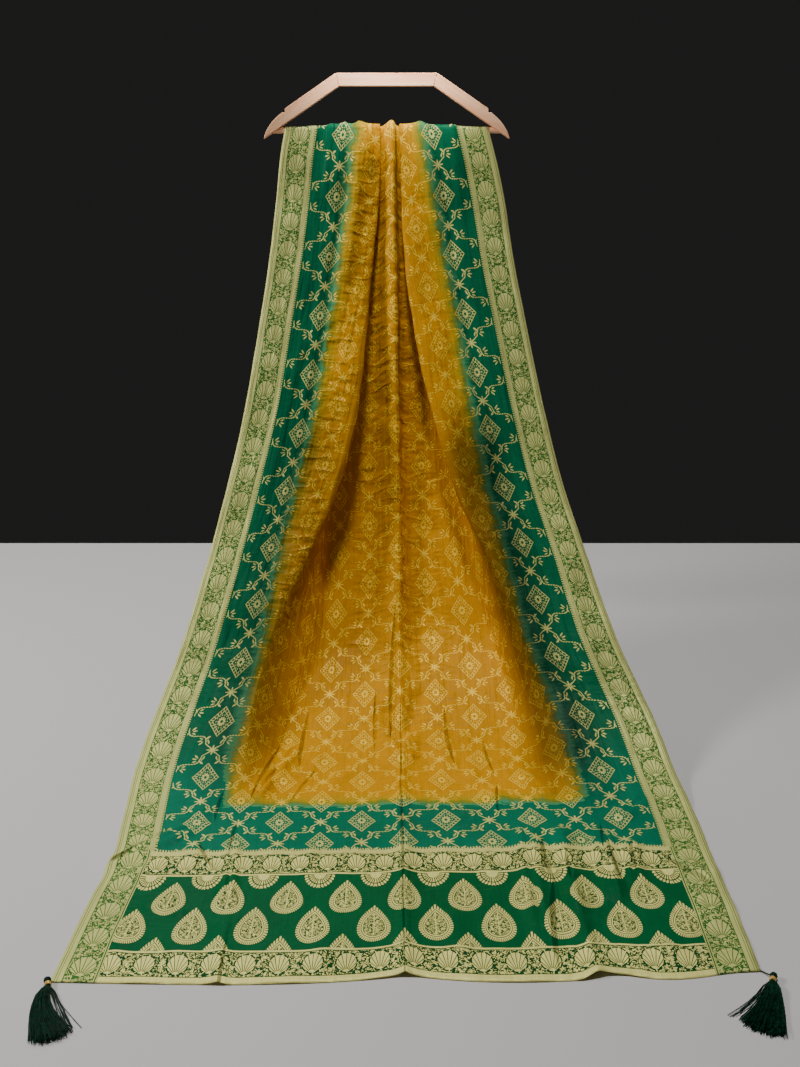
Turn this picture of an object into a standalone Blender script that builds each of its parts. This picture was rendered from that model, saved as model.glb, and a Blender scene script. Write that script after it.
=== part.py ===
"""A banarasi silk dupatta, hung over the rod of a wooden hanger and drawn forward over the floor.

Frame: +X is to the viewer's right as the hanger is faced, -Y is towards the viewer, +Z is up.
The origin is the middle of the underside of the hanger's top bar, where a peg carries it.
The cloth is gathered on the rod: two flat wings lie in front, and what is left over is tucked
behind them to a standing pleat at the middle. Lower down the wings spread, the tucks open into
valleys, and the cloth lies out flat on the floor with a tassel at each front corner.
"""

import math
from collections import namedtuple

import bmesh
import bpy
import numpy as np
from mathutils import Vector

# The hanger: three flat boards and a round rod
BAR_HALF_TOP = 0.094
BAR_HALF_UNDER = 0.0875
BAR_HEIGHT = 0.0225
BOARD_THICKNESS = 0.016
BOARD_ROUNDING = 0.0012
MITRE_GAP = 0.0003
ARM_SLOPE = math.radians(32.8)
SHOULDER_X = 0.1897
NOTCH_WIDTH = 0.008
NOTCH_DEPTH = 0.006
TIP_X = 0.231
ROD_RADIUS = 0.0055
ROD_HALF_LENGTH = 0.214
ROD_Z = -0.077
SEAT_GAP = 0.0003

# The cloth
FLOOR_Z = -1.085
CLOTH_THICKNESS = 0.0012
LAYER_STEP = 0.0026
TUCK_GAP = 0.0080
ROD_TO_CLOTH = 0.0004
ROW_LENGTH = 0.037
BACK_ROW_LENGTH = 0.062
BACK_HEM_HEIGHT = 0.36
BACK_LEAN = 0.010
WRAP_ROWS = 7
FRONT_TANGENT = math.radians(9.0)
HEM_SKEW = -0.022
HEM_SKEW_LENGTH = 0.30
REST_LENGTH = 0.115

# One row for each section across the cloth, from the rod down to the front hem.
# forward and height (over the floor) are the path of the wings. The nine places from left_edge to
# right_edge are distances from the middle plane. roll is the space between the two layers at a
# wing's inner crest, turn is how softly that crest is rounded, and the depths are how far behind
# the wings a fold lies. bulge is how much the pleat swells to the left of its crease.
Section = namedtuple(
    "Section",
    "forward height left_edge left_crest left_tuck left_valley crease right_valley right_tuck"
    " right_crest right_edge roll turn tuck_depth valley_depth crease_depth bulge",
)
ON_ROD = Section(
    0.0, 1.008, -0.191, -0.013, -0.118, -0.007, 0.013, 0.019, 0.137, 0.024, 0.191,
    LAYER_STEP, 0.0010, LAYER_STEP, 2 * LAYER_STEP, -0.0075, 0.0045,
)  # fmt: skip
DRAPE = [
    Section(0.016, 0.975, -0.198, -0.013, -0.116, -0.009, 0.014, 0.020, 0.135, 0.025, 0.201,
            0.0042, 0.0022, 0.0048, 0.0095, -0.0068, 0.0043),
    Section(0.030, 0.895, -0.207, -0.014, -0.112, -0.012, 0.015, 0.022, 0.129, 0.026, 0.220,
            0.0080, 0.005, 0.010, 0.020, -0.005, 0.004),
    Section(0.072, 0.775, -0.221, -0.026, -0.111, -0.020, 0.017, 0.025, 0.122, 0.034, 0.239,
            0.0140, 0.008, 0.016, 0.032, 0.003, 0.004),
    Section(0.125, 0.635, -0.243, -0.039, -0.109, -0.026, 0.018, 0.028, 0.121, 0.054, 0.267,
            0.0180, 0.010, 0.023, 0.050, 0.015, 0.004),
    Section(0.185, 0.495, -0.267, -0.055, -0.109, -0.032, 0.020, 0.034, 0.140, 0.088, 0.297,
            0.0210, 0.013, 0.035, 0.070, 0.034, 0.003),
    Section(0.254, 0.370, -0.295, -0.092, -0.117, -0.036, 0.021, 0.042, 0.158, 0.130, 0.329,
            0.0220, 0.016, 0.054, 0.095, 0.062, 0.003),
    Section(0.335, 0.260, -0.322, -0.148, -0.115, -0.034, 0.023, 0.050, 0.164, 0.191, 0.366,
            0.0150, 0.022, 0.082, 0.109, 0.077, 0.003),
    Section(0.430, 0.153, -0.352, -0.200, -0.130, -0.032, 0.024, 0.054, 0.206, 0.243, 0.403,
            0.0070, 0.028, 0.086, 0.096, 0.086, 0.002),
    Section(0.530, 0.070, -0.382, -0.221, -0.168, -0.028, 0.026, 0.056, 0.229, 0.280, 0.444,
            0.0030, 0.030, 0.052, 0.060, 0.056, 0.002),
    Section(0.640, 0.018, -0.397, -0.226, -0.180, -0.020, 0.027, 0.060, 0.240, 0.295, 0.463,
            0.0010, 0.022, 0.015, 0.017, 0.015, 0.001),
    Section(0.740, 0.0006, -0.392, -0.228, -0.182, -0.012, 0.028, 0.066, 0.243, 0.298, 0.471,
            0.0005, 0.018, 0.000, 0.000, 0.000, 0.000),
    Section(0.850, 0.0006, -0.381, -0.228, -0.182, -0.008, 0.029, 0.068, 0.244, 0.298, 0.467,
            0.0005, 0.018, 0.000, 0.000, 0.000, 0.000),
    Section(0.960, 0.0006, -0.388, -0.229, -0.182, -0.006, 0.029, 0.070, 0.245, 0.298, 0.466,
            0.0005, 0.018, 0.000, 0.000, 0.000, 0.000),
    Section(1.100, 0.0006, -0.3915, -0.231, -0.183, -0.004, 0.030, 0.072, 0.246, 0.299, 0.461,
            0.0005, 0.018, 0.000, 0.000, 0.000, 0.000),
]  # fmt: skip
BACK_HEM = Section(
    -BACK_LEAN, BACK_HEM_HEIGHT, -0.214, -0.030, -0.118, -0.030, 0.012, 0.044, 0.139, 0.044, 0.212,
    0.0120, 0.006, 0.014, 0.034, -0.008, 0.004,
)  # fmt: skip

# Where the mesh columns of a wing stand, from its outer edge (0) to its inner crest (1)
WING_STEPS = (0.0, 0.16, 0.34, 0.56, 0.78)

# Soft ridges of the cloth on and near the floor: each runs from one point to another, as distances
# from the middle plane and forward of the rod
Ridge = namedtuple("Ridge", "x0 forward0 x1 forward1 height half_width")
FLOOR_RIDGES = [
    Ridge(0.027, 0.560, 0.030, 1.110, 0.0080, 0.014),
    Ridge(-0.165, 0.560, -0.222, 0.740, 0.0070, 0.018),
    Ridge(-0.400, 0.870, -0.270, 0.800, 0.0060, 0.018),
    Ridge(0.210, 0.800, 0.212, 1.020, 0.0040, 0.016),
    Ridge(0.262, 0.780, 0.264, 0.960, 0.0060, 0.016),
    Ridge(0.258, 0.930, 0.274, 1.115, 0.0100, 0.016),
    Ridge(0.315, 0.820, 0.322, 0.960, 0.0055, 0.014),
    Ridge(0.405, 0.930, 0.300, 1.100, 0.0050, 0.022),
    Ridge(-0.240, 0.980, -0.190, 1.110, 0.0030, 0.022),
]

# How far the front hem wanders forward of a straight line between its corners
HemWave = namedtuple("HemWave", "x forward")
HEM_WAVES = [
    HemWave(-0.3915, 0.000), HemWave(-0.290, 0.005), HemWave(-0.160, 0.010), HemWave(-0.070, 0.0085),
    HemWave(-0.025, 0.006), HemWave(0.030, -0.002), HemWave(0.060, 0.002), HemWave(0.095, 0.010),
    HemWave(0.238, 0.015), HemWave(0.262, 0.001), HemWave(0.297, 0.003), HemWave(0.330, 0.011),
    HemWave(0.370, 0.012), HemWave(0.425, 0.001), HemWave(0.461, 0.000),
]  # fmt: skip
HEM_WAVE_LENGTH = 0.12
WING_WAVE = 0.0012
WING_WAVE_LENGTH = 0.31

# The tassels
TASSEL_STRANDS_ACROSS = 10
TASSEL_STRAND_ROWS = 4
KNOB_RADIUS = 0.0046
NECK_RADIUS = 0.0022
BEAD_OUTER_RADIUS = 0.0040
BEAD_LENGTH = 0.0062
ROOT_WIDTH = 0.0125
ROOT_HEIGHT = 0.0052
SKIRT_LENGTH = 0.086
STRAND_TIP_WIDTH = 0.0021
STRAND_TIP_HEIGHT = 0.0015
LEFT_FAN = math.radians(12.5)
RIGHT_FAN = math.radians(16)
STRAND_STEPS = (0.10, 0.30, 0.62, 1.0)
TIE_RADIUS = 0.0009

# Colours, roughness and metallic value of each material
MATERIALS = {
    "silk": ((0.012, 0.135, 0.062, 1.0), 0.45, 0.0),
    "wood": ((0.72, 0.47, 0.34, 1.0), 0.55, 0.0),
    "tassel_yarn": ((0.003, 0.022, 0.014, 1.0), 0.50, 0.0),
    "gilt_bead": ((0.55, 0.36, 0.10, 1.0), 0.30, 1.0),
}


def clear_scene():
    for thing in list(bpy.data.objects):
        bpy.data.objects.remove(thing, do_unlink=True)


def material(name):
    colour, roughness, metallic = MATERIALS[name]
    made = bpy.data.materials.get(name) or bpy.data.materials.new(name)
    made.use_nodes = True
    shader = made.node_tree.nodes["Principled BSDF"]
    shader.inputs["Base Color"].default_value = colour
    shader.inputs["Roughness"].default_value = roughness
    shader.inputs["Metallic"].default_value = metallic
    return made


def add_object(name, mesh, material_name):
    mesh.materials.clear()
    mesh.materials.append(material(material_name))
    made = bpy.data.objects.new(name, mesh)
    bpy.context.scene.collection.objects.link(made)
    return made


def mesh_from_bmesh(name, shape):
    shape.normal_update()
    bmesh.ops.recalc_face_normals(shape, faces=shape.faces)
    mesh = bpy.data.meshes.new(name)
    shape.to_mesh(mesh)
    shape.free()
    return mesh


# The cloth's path and its sections


def hermite_rows(positions, values, wanted):
    """Values of several columns at the wanted distances, on a smooth curve through the given rows."""
    slopes = np.gradient(values, positions, axis=0)
    rows = []
    for place in wanted:
        k = int(np.clip(np.searchsorted(positions, place) - 1, 0, len(positions) - 2))
        span = positions[k + 1] - positions[k]
        t = (place - positions[k]) / span
        rows.append(
            values[k] * (1 + 2 * t) * (1 - t) ** 2
            + slopes[k] * span * t * (1 - t) ** 2
            + values[k + 1] * t * t * (3 - 2 * t)
            - slopes[k + 1] * span * t * t * (1 - t)
        )
    return np.array(rows)


def wing_radius():
    """Radius of the outermost layer on the rod, at the middle of its thickness."""
    return ROD_RADIUS + ROD_TO_CLOTH + CLOTH_THICKNESS / 2 + 2 * LAYER_STEP


def path_rows():
    """Each row as (forward, z, the direction that points behind the cloth, section, share of rod)."""
    radius = wing_radius()
    front_start = (radius * math.cos(FRONT_TANGENT), ROD_Z + radius * math.sin(FRONT_TANGENT))
    table = np.array([ON_ROD] + DRAPE)
    table[:, 1] += FLOOR_Z
    table[0, :2] = front_start
    steps = np.linalg.norm(np.diff(table[:, :2], axis=0), axis=1)
    places = np.concatenate([[0.0], np.cumsum(steps)])
    count = int(round(places[-1] / ROW_LENGTH))
    wanted = np.linspace(0.0, places[-1], count + 1)
    smooth = hermite_rows(places, table, wanted)
    path = smooth[:, :2]
    along = np.gradient(path, axis=0)
    along /= np.linalg.norm(along, axis=1)[:, None]
    rows = []
    for k in range(count, 0, -1):
        behind = np.array([along[k, 1], -along[k, 0]])
        share = max(0.0, 1 - wanted[k] / REST_LENGTH)
        rows.append((path[k], behind, Section(*smooth[k]), share))
    for k in range(WRAP_ROWS + 1):
        turn = FRONT_TANGENT + (math.pi - FRONT_TANGENT) * k / WRAP_ROWS
        out = np.array([math.cos(turn), math.sin(turn)])
        rows.append((np.array([0.0, ROD_Z]) + radius * out, -out, ON_ROD, 1.0))
    hem = np.array(BACK_HEM)
    top = np.array(ON_ROD)
    top[:2] = (-radius, ROD_Z - FLOOR_Z)
    hem[0] += -radius
    back_length = top[1] - hem[1]
    back_count = int(round(back_length / BACK_ROW_LENGTH))
    for k in range(1, back_count + 1):
        t = k / back_count
        section = Section(*(top * (1 - t) + hem * t))
        place = np.array([section.forward, section.height + FLOOR_Z])
        rows.append((place, np.array([1.0, 0.0]), section, max(0.0, 1 - 3 * t)))
    return rows


def rounded_fold(before, first, second, after, turn, soft):
    """Points round a fold whose two layers meet at first and second: four if soft, else three."""
    back = before - first
    on = after - second
    back *= min(turn / max(np.linalg.norm(back), 1e-9), 0.35)
    on *= min(turn / max(np.linalg.norm(on), 1e-9), 0.35)
    if soft:
        near = first * 0.78 + second * 0.22
        far = first * 0.22 + second * 0.78
        return [first + back, near, far, second + on]
    return [first + back, (first + second) / 2, second + on]


def side_points(edge, crest, tuck, valley, section, rod_share, pleat):
    """(x, depth) of one half's columns, from the outer edge to just before the middle crease."""
    roll = section.roll
    press = min(roll, TUCK_GAP)
    outer = np.array([edge, 2 * LAYER_STEP * rod_share])
    crest_front = np.array([crest, 0.0])
    crest_back = np.array([crest, roll])
    tuck_front = np.array([tuck, section.tuck_depth])
    tuck_back = np.array([tuck, section.tuck_depth + press])
    valley_floor = np.array([valley, section.valley_depth])
    ridge = np.array([section.crease, section.crease_depth])
    points = []
    for step in WING_STEPS:
        place = outer + (crest_front - outer) * step
        resting = 1.0 if step < 0.3 else max(0.0, 1 - (step - 0.3) / 0.22)
        place[1] = outer[1] * resting
        points.append(place)
    points += rounded_fold(outer, crest_front, crest_back, tuck_front, section.turn, True)
    points.append((crest_back + tuck_front) / 2)
    points += rounded_fold(crest_back, tuck_front, tuck_back, valley_floor, press, False)
    points.append(tuck_back + (valley_floor - tuck_back) * 0.36)
    points.append(tuck_back + (valley_floor - tuck_back) * 0.72)
    points.append(valley_floor)
    for share, swell in pleat:
        place = valley_floor + (ridge - valley_floor) * share
        points.append(place - np.array([0, section.bulge * swell]))
    return points


def section_points(section, rod_share):
    """(x, depth) of every column, left edge to right edge."""
    s = section
    left = side_points(
        s.left_edge, s.left_crest, s.left_tuck, s.left_valley, s, rod_share, ((0.35, 0.8), (0.72, 1.0))
    )
    right = side_points(
        s.right_edge, s.right_crest, s.right_tuck, s.right_valley, s, rod_share, ((0.55, 0.0),)
    )
    return np.array(left + [np.array([s.crease, s.crease_depth])] + right[::-1])


def ridge_height(x, forward):
    """Height that the soft ridges of the floor give a point."""
    total = 0.0
    for ridge in FLOOR_RIDGES:
        start = np.array([ridge.x0, ridge.forward0])
        run = np.array([ridge.x1, ridge.forward1]) - start
        t = np.clip(np.dot(np.array([x, forward]) - start, run) / np.dot(run, run), 0, 1)
        away = np.linalg.norm(np.array([x, forward]) - start - run * t)
        fade = math.sin(math.pi * min(1.0, 0.12 + 0.88 * t) ** 0.7) if t < 1 else 0.35
        total += ridge.height * max(fade, 0.35) * math.exp(-((away / ridge.half_width) ** 2))
    return total


def hem_shift(x, forward):
    """How far a point near the front hem goes forward with the hem's waves."""
    share = np.clip((forward - (1.10 - HEM_WAVE_LENGTH)) / HEM_WAVE_LENGTH, 0, 1)
    places, shifts = zip(*HEM_WAVES)
    return float(np.interp(x, places, shifts)) * share * share


def cloth_grid():
    """Middle surface of the cloth: rows from the front hem, over the rod, to the back hem."""
    rows = path_rows()
    grid = []
    lowest = FLOOR_Z + CLOTH_THICKNESS / 2
    for place, behind, section, rod_share in rows:
        line = []
        on_floor = np.clip((section.forward - 0.45) / 0.25, 0, 1) if behind[1] < 0 else 0.0
        free = min(1.0, max(0.0, (section.forward - 0.06) / 0.2)) * (1 - on_floor)
        skew = np.clip((section.forward - (1.10 - HEM_SKEW_LENGTH)) / HEM_SKEW_LENGTH, 0, 1)
        for x, depth in section_points(section, rod_share):
            wave = WING_WAVE * free * math.sin(
                2 * math.pi * (place[0] - place[1]) / WING_WAVE_LENGTH + 7 * x
            )
            forward = place[0] + behind[0] * (depth + wave) + HEM_SKEW * x * skew
            if behind[1] < 0:
                forward += hem_shift(x, section.forward)
            z = place[1] + behind[1] * (depth + wave)
            z += ridge_height(x, forward) * on_floor
            line.append(Vector((x, -forward, max(z, lowest))))
        grid.append(line)
    return grid


def surface_normals(grid):
    rows, columns = len(grid), len(grid[0])
    normals = []
    for r in range(rows):
        line = []
        for c in range(columns):
            down = grid[min(r + 1, rows - 1)][c] - grid[max(r - 1, 0)][c]
            across = grid[r][min(c + 1, columns - 1)] - grid[r][max(c - 1, 0)]
            line.append(across.cross(down).normalized())
        normals.append(line)
    return normals


def make_cloth():
    grid = cloth_grid()
    normals = surface_normals(grid)
    rows, columns = len(grid), len(grid[0])
    shape = bmesh.new()
    half = CLOTH_THICKNESS / 2
    layers = []
    for sign in (1, -1):
        layer = []
        for r in range(rows):
            line = []
            for c in range(columns):
                place = grid[r][c] + normals[r][c] * half * sign
                place.z = max(place.z, FLOOR_Z if sign < 0 else FLOOR_Z + CLOTH_THICKNESS)
                line.append(shape.verts.new(place))
            layer.append(line)
        layers.append(layer)
    for layer, flip in zip(layers, (False, True)):
        for r in range(rows - 1):
            for c in range(columns - 1):
                corners = [layer[r][c], layer[r][c + 1], layer[r + 1][c + 1], layer[r + 1][c]]
                shape.faces.new(corners[::-1] if flip else corners)
    rim = [(0, c) for c in range(columns - 1)] + [(r, columns - 1) for r in range(rows - 1)]
    rim += [(rows - 1, c) for c in range(columns - 1, 0, -1)] + [(r, 0) for r in range(rows - 1, 0, -1)]
    front, back = layers
    for (r0, c0), (r1, c1) in zip(rim, rim[1:] + rim[:1]):
        shape.faces.new([front[r1][c1], front[r0][c0], back[r0][c0], back[r1][c1]])
    mesh = mesh_from_bmesh("dupatta", shape)
    mesh.shade_smooth()
    mesh.set_sharp_from_angle(angle=math.radians(50))
    return add_object("dupatta", mesh, "silk")


# The hanger


def board(name, outline):
    """A board of the hanger from its outline of (x, z) points, counterclockwise from the front."""
    shape = bmesh.new()
    front = [shape.verts.new((x, -BOARD_THICKNESS / 2, z)) for x, z in outline]
    face = shape.faces.new(front)
    moved = bmesh.ops.extrude_face_region(shape, geom=[face])["geom"]
    corners = [item for item in moved if isinstance(item, bmesh.types.BMVert)]
    bmesh.ops.translate(shape, verts=corners, vec=(0, BOARD_THICKNESS, 0))
    made = add_object(name, mesh_from_bmesh(name, shape), "wood")
    bevel = made.modifiers.new("rounding", "BEVEL")
    bevel.width = BOARD_ROUNDING
    bevel.segments = 2
    bevel.limit_method = "ANGLE"
    bevel.angle_limit = math.radians(50)
    return made


def arm_outline():
    """The right arm: mitred at the bar, with a strap notch and a rounded end."""
    down = Vector((math.cos(ARM_SLOPE), -math.sin(ARM_SLOPE)))
    up = Vector((math.sin(ARM_SLOPE), math.cos(ARM_SLOPE)))
    top = Vector((BAR_HALF_TOP + MITRE_GAP, BAR_HEIGHT))
    under = Vector((BAR_HALF_UNDER + MITRE_GAP, 0.0))
    shoulder = top + down * ((SHOULDER_X - top.x) / down.x)
    tip = under + down * ((TIP_X - under.x) / down.x)
    notch_foot = shoulder + down * (NOTCH_WIDTH * 0.55) - up * NOTCH_DEPTH
    notch_lip = shoulder + down * NOTCH_WIDTH - up * (NOTCH_DEPTH * 0.45)
    outline = [under, tip]
    bulge = (notch_lip + tip) / 2 + (up + down) * 0.0085
    for k in range(1, 8):
        t = k / 8
        outline.append(tip * (1 - t) ** 2 + bulge * 2 * t * (1 - t) + notch_lip * t * t)
    outline += [notch_lip, notch_foot, shoulder, top]
    return [(point.x, point.y) for point in outline]


def rod_mesh(name, radius, start, end, sides):
    shape = bmesh.new()
    bmesh.ops.create_cone(
        shape, cap_ends=True, segments=sides, radius1=radius, radius2=radius, depth=end - start
    )
    turned = [(v, Vector(((start + end) / 2 + v.co.z, v.co.y, ROD_Z - v.co.x))) for v in shape.verts]
    for vertex, place in turned:
        vertex.co = place
    return mesh_from_bmesh(name, shape)


def make_hanger():
    under, top = BAR_HALF_UNDER, BAR_HALF_TOP
    board("hanger_top_bar", [(-under, 0), (under, 0), (top, BAR_HEIGHT), (-top, BAR_HEIGHT)])
    bare_rod = rod_mesh("hanger_rod", ROD_RADIUS, -ROD_HALF_LENGTH, ROD_HALF_LENGTH, 24)
    rod = add_object("hanger_rod", bare_rod, "wood")
    rod.data.shade_smooth()
    rod.data.set_sharp_from_angle(angle=math.radians(40))
    right = arm_outline()
    left = [(-x, z) for x, z in right][::-1]
    bore_end = ROD_HALF_LENGTH + SEAT_GAP
    for name, outline, start, end in (
        ("hanger_arm_right", right, 0.16, bore_end),
        ("hanger_arm_left", left, -bore_end, -0.16),
    ):
        arm = board(name, outline)
        cutter = add_object(
            name + "_bore", rod_mesh(name + "_bore", ROD_RADIUS + SEAT_GAP, start, end, 24), "wood"
        )
        cutter.hide_render = True
        cutter.display_type = "WIRE"
        cut = arm.modifiers.new("rod_socket", "BOOLEAN")
        cut.operation = "DIFFERENCE"
        cut.object = cutter


# The tassels


def tassel_frame(knob, heading):
    """The knob's middle, the direction in which the skirt runs, and the direction across it."""
    along = Vector((math.sin(heading), -math.cos(heading), 0.0))
    return Vector((knob[0], -knob[1], FLOOR_Z)), along, Vector((0, 0, 1)).cross(along)


def root_grid():
    """(across, up) of the corners between the strands' roots, at the skirt's foot."""
    ups = np.linspace(0.0, ROOT_HEIGHT, TASSEL_STRAND_ROWS + 1)
    sides = np.linspace(-ROOT_WIDTH / 2, ROOT_WIDTH / 2, TASSEL_STRANDS_ACROSS + 1)
    return sides, ups


def make_tassel(name, knob, heading, fan):
    """Knob, neck, skirt's foot and its strands, all one piece of yarn."""
    middle, along, across = tassel_frame(knob, heading)
    sides, ups = root_grid()
    shape = bmesh.new()

    def place(run, side, height):
        return middle + along * run + across * side + Vector((0, 0, height))

    foot_run = KNOB_RADIUS * 0.8 + BEAD_LENGTH + 0.0040
    lattice = [[shape.verts.new(place(foot_run, s, u)) for s in sides] for u in ups]
    last_row, last_side = len(ups) - 1, len(sides) - 1
    rim = [(0, c) for c in range(last_side)] + [(r, last_side) for r in range(last_row)]
    rim += [(last_row, c) for c in range(last_side, 0, -1)] + [(r, 0) for r in range(last_row, 0, -1)]
    rings = [[lattice[r][c] for r, c in rim]]
    neck_start = KNOB_RADIUS * 0.8
    profile = [
        (neck_start + BEAD_LENGTH + 0.0012, NECK_RADIUS * 1.05),
        (neck_start, NECK_RADIUS),
        (KNOB_RADIUS * 0.62, KNOB_RADIUS * 0.80),
        (KNOB_RADIUS * 0.10, KNOB_RADIUS),
        (-KNOB_RADIUS * 0.55, KNOB_RADIUS * 0.82),
        (-KNOB_RADIUS * 0.95, KNOB_RADIUS * 0.30),
    ]
    for run, radius in profile:
        ring = []
        for r, c in rim:
            turn = math.atan2(ups[r] - ROOT_HEIGHT / 2, sides[c] * ROOT_HEIGHT / ROOT_WIDTH)
            height = KNOB_RADIUS + radius * math.sin(turn)
            ring.append(shape.verts.new(place(run, radius * math.cos(turn), height)))
        rings.append(ring)
    for near, far in zip(rings, rings[1:]):
        for k in range(len(rim)):
            after = (k + 1) % len(rim)
            shape.faces.new([near[k], near[after], far[after], far[k]])
    shape.faces.new(rings[-1])
    roots = []
    for r in range(last_row):
        for c in range(last_side):
            roots.append((r, c, shape.faces.new(
                [lattice[r][c], lattice[r][c + 1], lattice[r + 1][c + 1], lattice[r + 1][c]]
            )))
    shape.normal_update()
    bmesh.ops.recalc_face_normals(shape, faces=shape.faces)
    bmesh.ops.inset_individual(shape, faces=[face for _, _, face in roots], thickness=0.00016)
    for r, c, face in roots:
        grow_strand(shape, face, r, c, place, foot_run, fan)
    return add_object(name, mesh_from_bmesh(name, shape), "tassel_yarn")


def grow_strand(shape, face, row, column, place, foot_run, skirt_fan):
    """Draws one strand out of its root, down to the floor or onto the strands below it."""
    share = (column + 0.5) / TASSEL_STRANDS_ACROSS * 2 - 1
    odd = row % 2
    fan = skirt_fan * (share + (0.5 * odd - 0.25) * 2 / TASSEL_STRANDS_ACROSS)
    uneven = math.sin(5.1 * column + 2.3 * row)
    length = SKIRT_LENGTH * (1 - 0.05 * row + 0.035 * uneven - 0.06 * share * share)
    near = sorted_corners(face, place)
    start_height = sum(vertex.co.z for vertex in near) / 4 - FLOOR_Z
    start_side = share * ROOT_WIDTH / 2
    rest_height = (row + 0.5) * (STRAND_TIP_HEIGHT + 0.0004) - 0.0002
    shape.faces.remove(face)
    for t in STRAND_STEPS:
        drop = min(1.0, t / 0.30)
        width = 0.5 * (0.0009 + (STRAND_TIP_WIDTH - 0.0009) * min(1.0, t * 1.25))
        tall = 0.5 * (0.0010 + (STRAND_TIP_HEIGHT - 0.0010) * drop)
        if t == 1.0:
            width *= 0.75
        run = foot_run + length * t * math.cos(fan * t)
        side = start_side + length * t * math.sin(fan * (0.72 + 0.28 * t))
        height = start_height + (rest_height - start_height) * drop * drop * (3 - 2 * drop)
        height = max(height, tall)
        ring = [
            shape.verts.new(place(run, side + s * width, height + u * tall))
            for s, u in ((-1, -1), (1, -1), (1, 1), (-1, 1))
        ]
        for k in range(4):
            after = (k + 1) % 4
            shape.faces.new([near[k], near[after], ring[after], ring[k]])
        near = ring
    shape.faces.new(near)


def sorted_corners(face, place):
    """The face's corners as lower near side, lower far side, upper far side, upper near side."""
    origin = place(0, 0, 0)
    across = (place(0, 1, 0) - origin).normalized()
    corners = sorted(face.verts, key=lambda v: v.co.z)
    low = sorted(corners[:2], key=lambda v: (v.co - origin).dot(across))
    high = sorted(corners[2:], key=lambda v: -(v.co - origin).dot(across))
    return low + high


def make_bead(name, knob, heading):
    """A short gilt tube round the tassel's neck."""
    middle, along, across = tassel_frame(knob, heading)
    shape = bmesh.new()
    inner = NECK_RADIUS * 1.05 + SEAT_GAP + 0.0001
    start = KNOB_RADIUS * 0.8 + 0.0008
    end = start + BEAD_LENGTH - 0.0006
    rim = 0.0006
    profile = [
        (start, inner), (start, BEAD_OUTER_RADIUS - rim), (start + rim, BEAD_OUTER_RADIUS),
        (end - rim, BEAD_OUTER_RADIUS), (end, BEAD_OUTER_RADIUS - rim), (end, inner),
    ]  # fmt: skip
    sides = 16
    rings = []
    for run, radius in profile:
        ring = []
        for k in range(sides):
            turn = 2 * math.pi * k / sides
            up = Vector((0, 0, KNOB_RADIUS + radius * math.sin(turn)))
            ring.append(shape.verts.new(middle + along * run + across * radius * math.cos(turn) + up))
        rings.append(ring)
    for near, far in zip(rings, rings[1:] + rings[:1]):
        for k in range(sides):
            after = (k + 1) % sides
            shape.faces.new([near[k], near[after], far[after], far[k]])
    mesh = mesh_from_bmesh(name, shape)
    mesh.shade_smooth()
    mesh.set_sharp_from_angle(angle=math.radians(40))
    return add_object(name, mesh, "gilt_bead")


def make_tie(name, start, end):
    """The thin twisted tie between a corner and its tassel's knob, lying on the floor."""
    curve = bpy.data.curves.new(name, "CURVE")
    curve.dimensions = "3D"
    curve.bevel_depth = TIE_RADIUS
    curve.bevel_resolution = 2
    curve.use_fill_caps = True
    spline = curve.splines.new("POLY")
    points = 6
    spline.points.add(points - 1)
    for k in range(points):
        t = k / (points - 1)
        x = start[0] + (end[0] - start[0]) * t + 0.0012 * math.sin(math.pi * t)
        forward = start[1] + (end[1] - start[1]) * t
        height = TIE_RADIUS + (end[2] - TIE_RADIUS) * t ** 3
        spline.points[k].co = (x, -forward, FLOOR_Z + height, 1)
    curve.materials.append(material("tassel_yarn"))
    made = bpy.data.objects.new(name, curve)
    bpy.context.scene.collection.objects.link(made)


def make_tassels():
    left_corner = (DRAPE[-1].left_edge, DRAPE[-1].forward + HEM_SKEW * DRAPE[-1].left_edge)
    right_corner = (DRAPE[-1].right_edge, DRAPE[-1].forward + HEM_SKEW * DRAPE[-1].right_edge)
    left_knob = (left_corner[0] - 0.0024, left_corner[1] + 0.0022)
    right_knob = (right_corner[0] + 0.0105, right_corner[1] + 0.0130)
    for name, knob, heading, fan in (
        ("left", left_knob, math.radians(21), LEFT_FAN),
        ("right", right_knob, math.radians(-26), RIGHT_FAN),
    ):
        make_tassel("tassel_" + name, knob, heading, fan)
        make_bead("tassel_bead_" + name, knob, heading)
    run = Vector(right_knob) - Vector(right_corner)
    start = Vector(right_corner) + run.normalized() * (SEAT_GAP + 0.0003)
    end = Vector(right_knob) - run.normalized() * (KNOB_RADIUS + SEAT_GAP)
    make_tie("tassel_tie_right", (start.x, start.y), (end.x, end.y, KNOB_RADIUS * 0.8))


clear_scene()
make_hanger()
make_cloth()
make_tassels()
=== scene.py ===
# %% [markdown]
# # A banarasi silk dupatta on a wooden hanger
#
# A dupatta is a long unstitched stole. This one is woven silk, green along its borders and mustard
# in the middle, with patterns in metal thread. It hangs over the rod of a plain wooden hanger, and
# its front end is drawn forward and laid out flat on the floor, with a tassel at each corner.
#
# The frame below brings in the solids that the physics uses. The hanger's boards keep their
# solids and get real wood. The cloth, the tassels and the tie are soft, so finer pieces replace
# them.

import math
from collections import namedtuple

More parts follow.
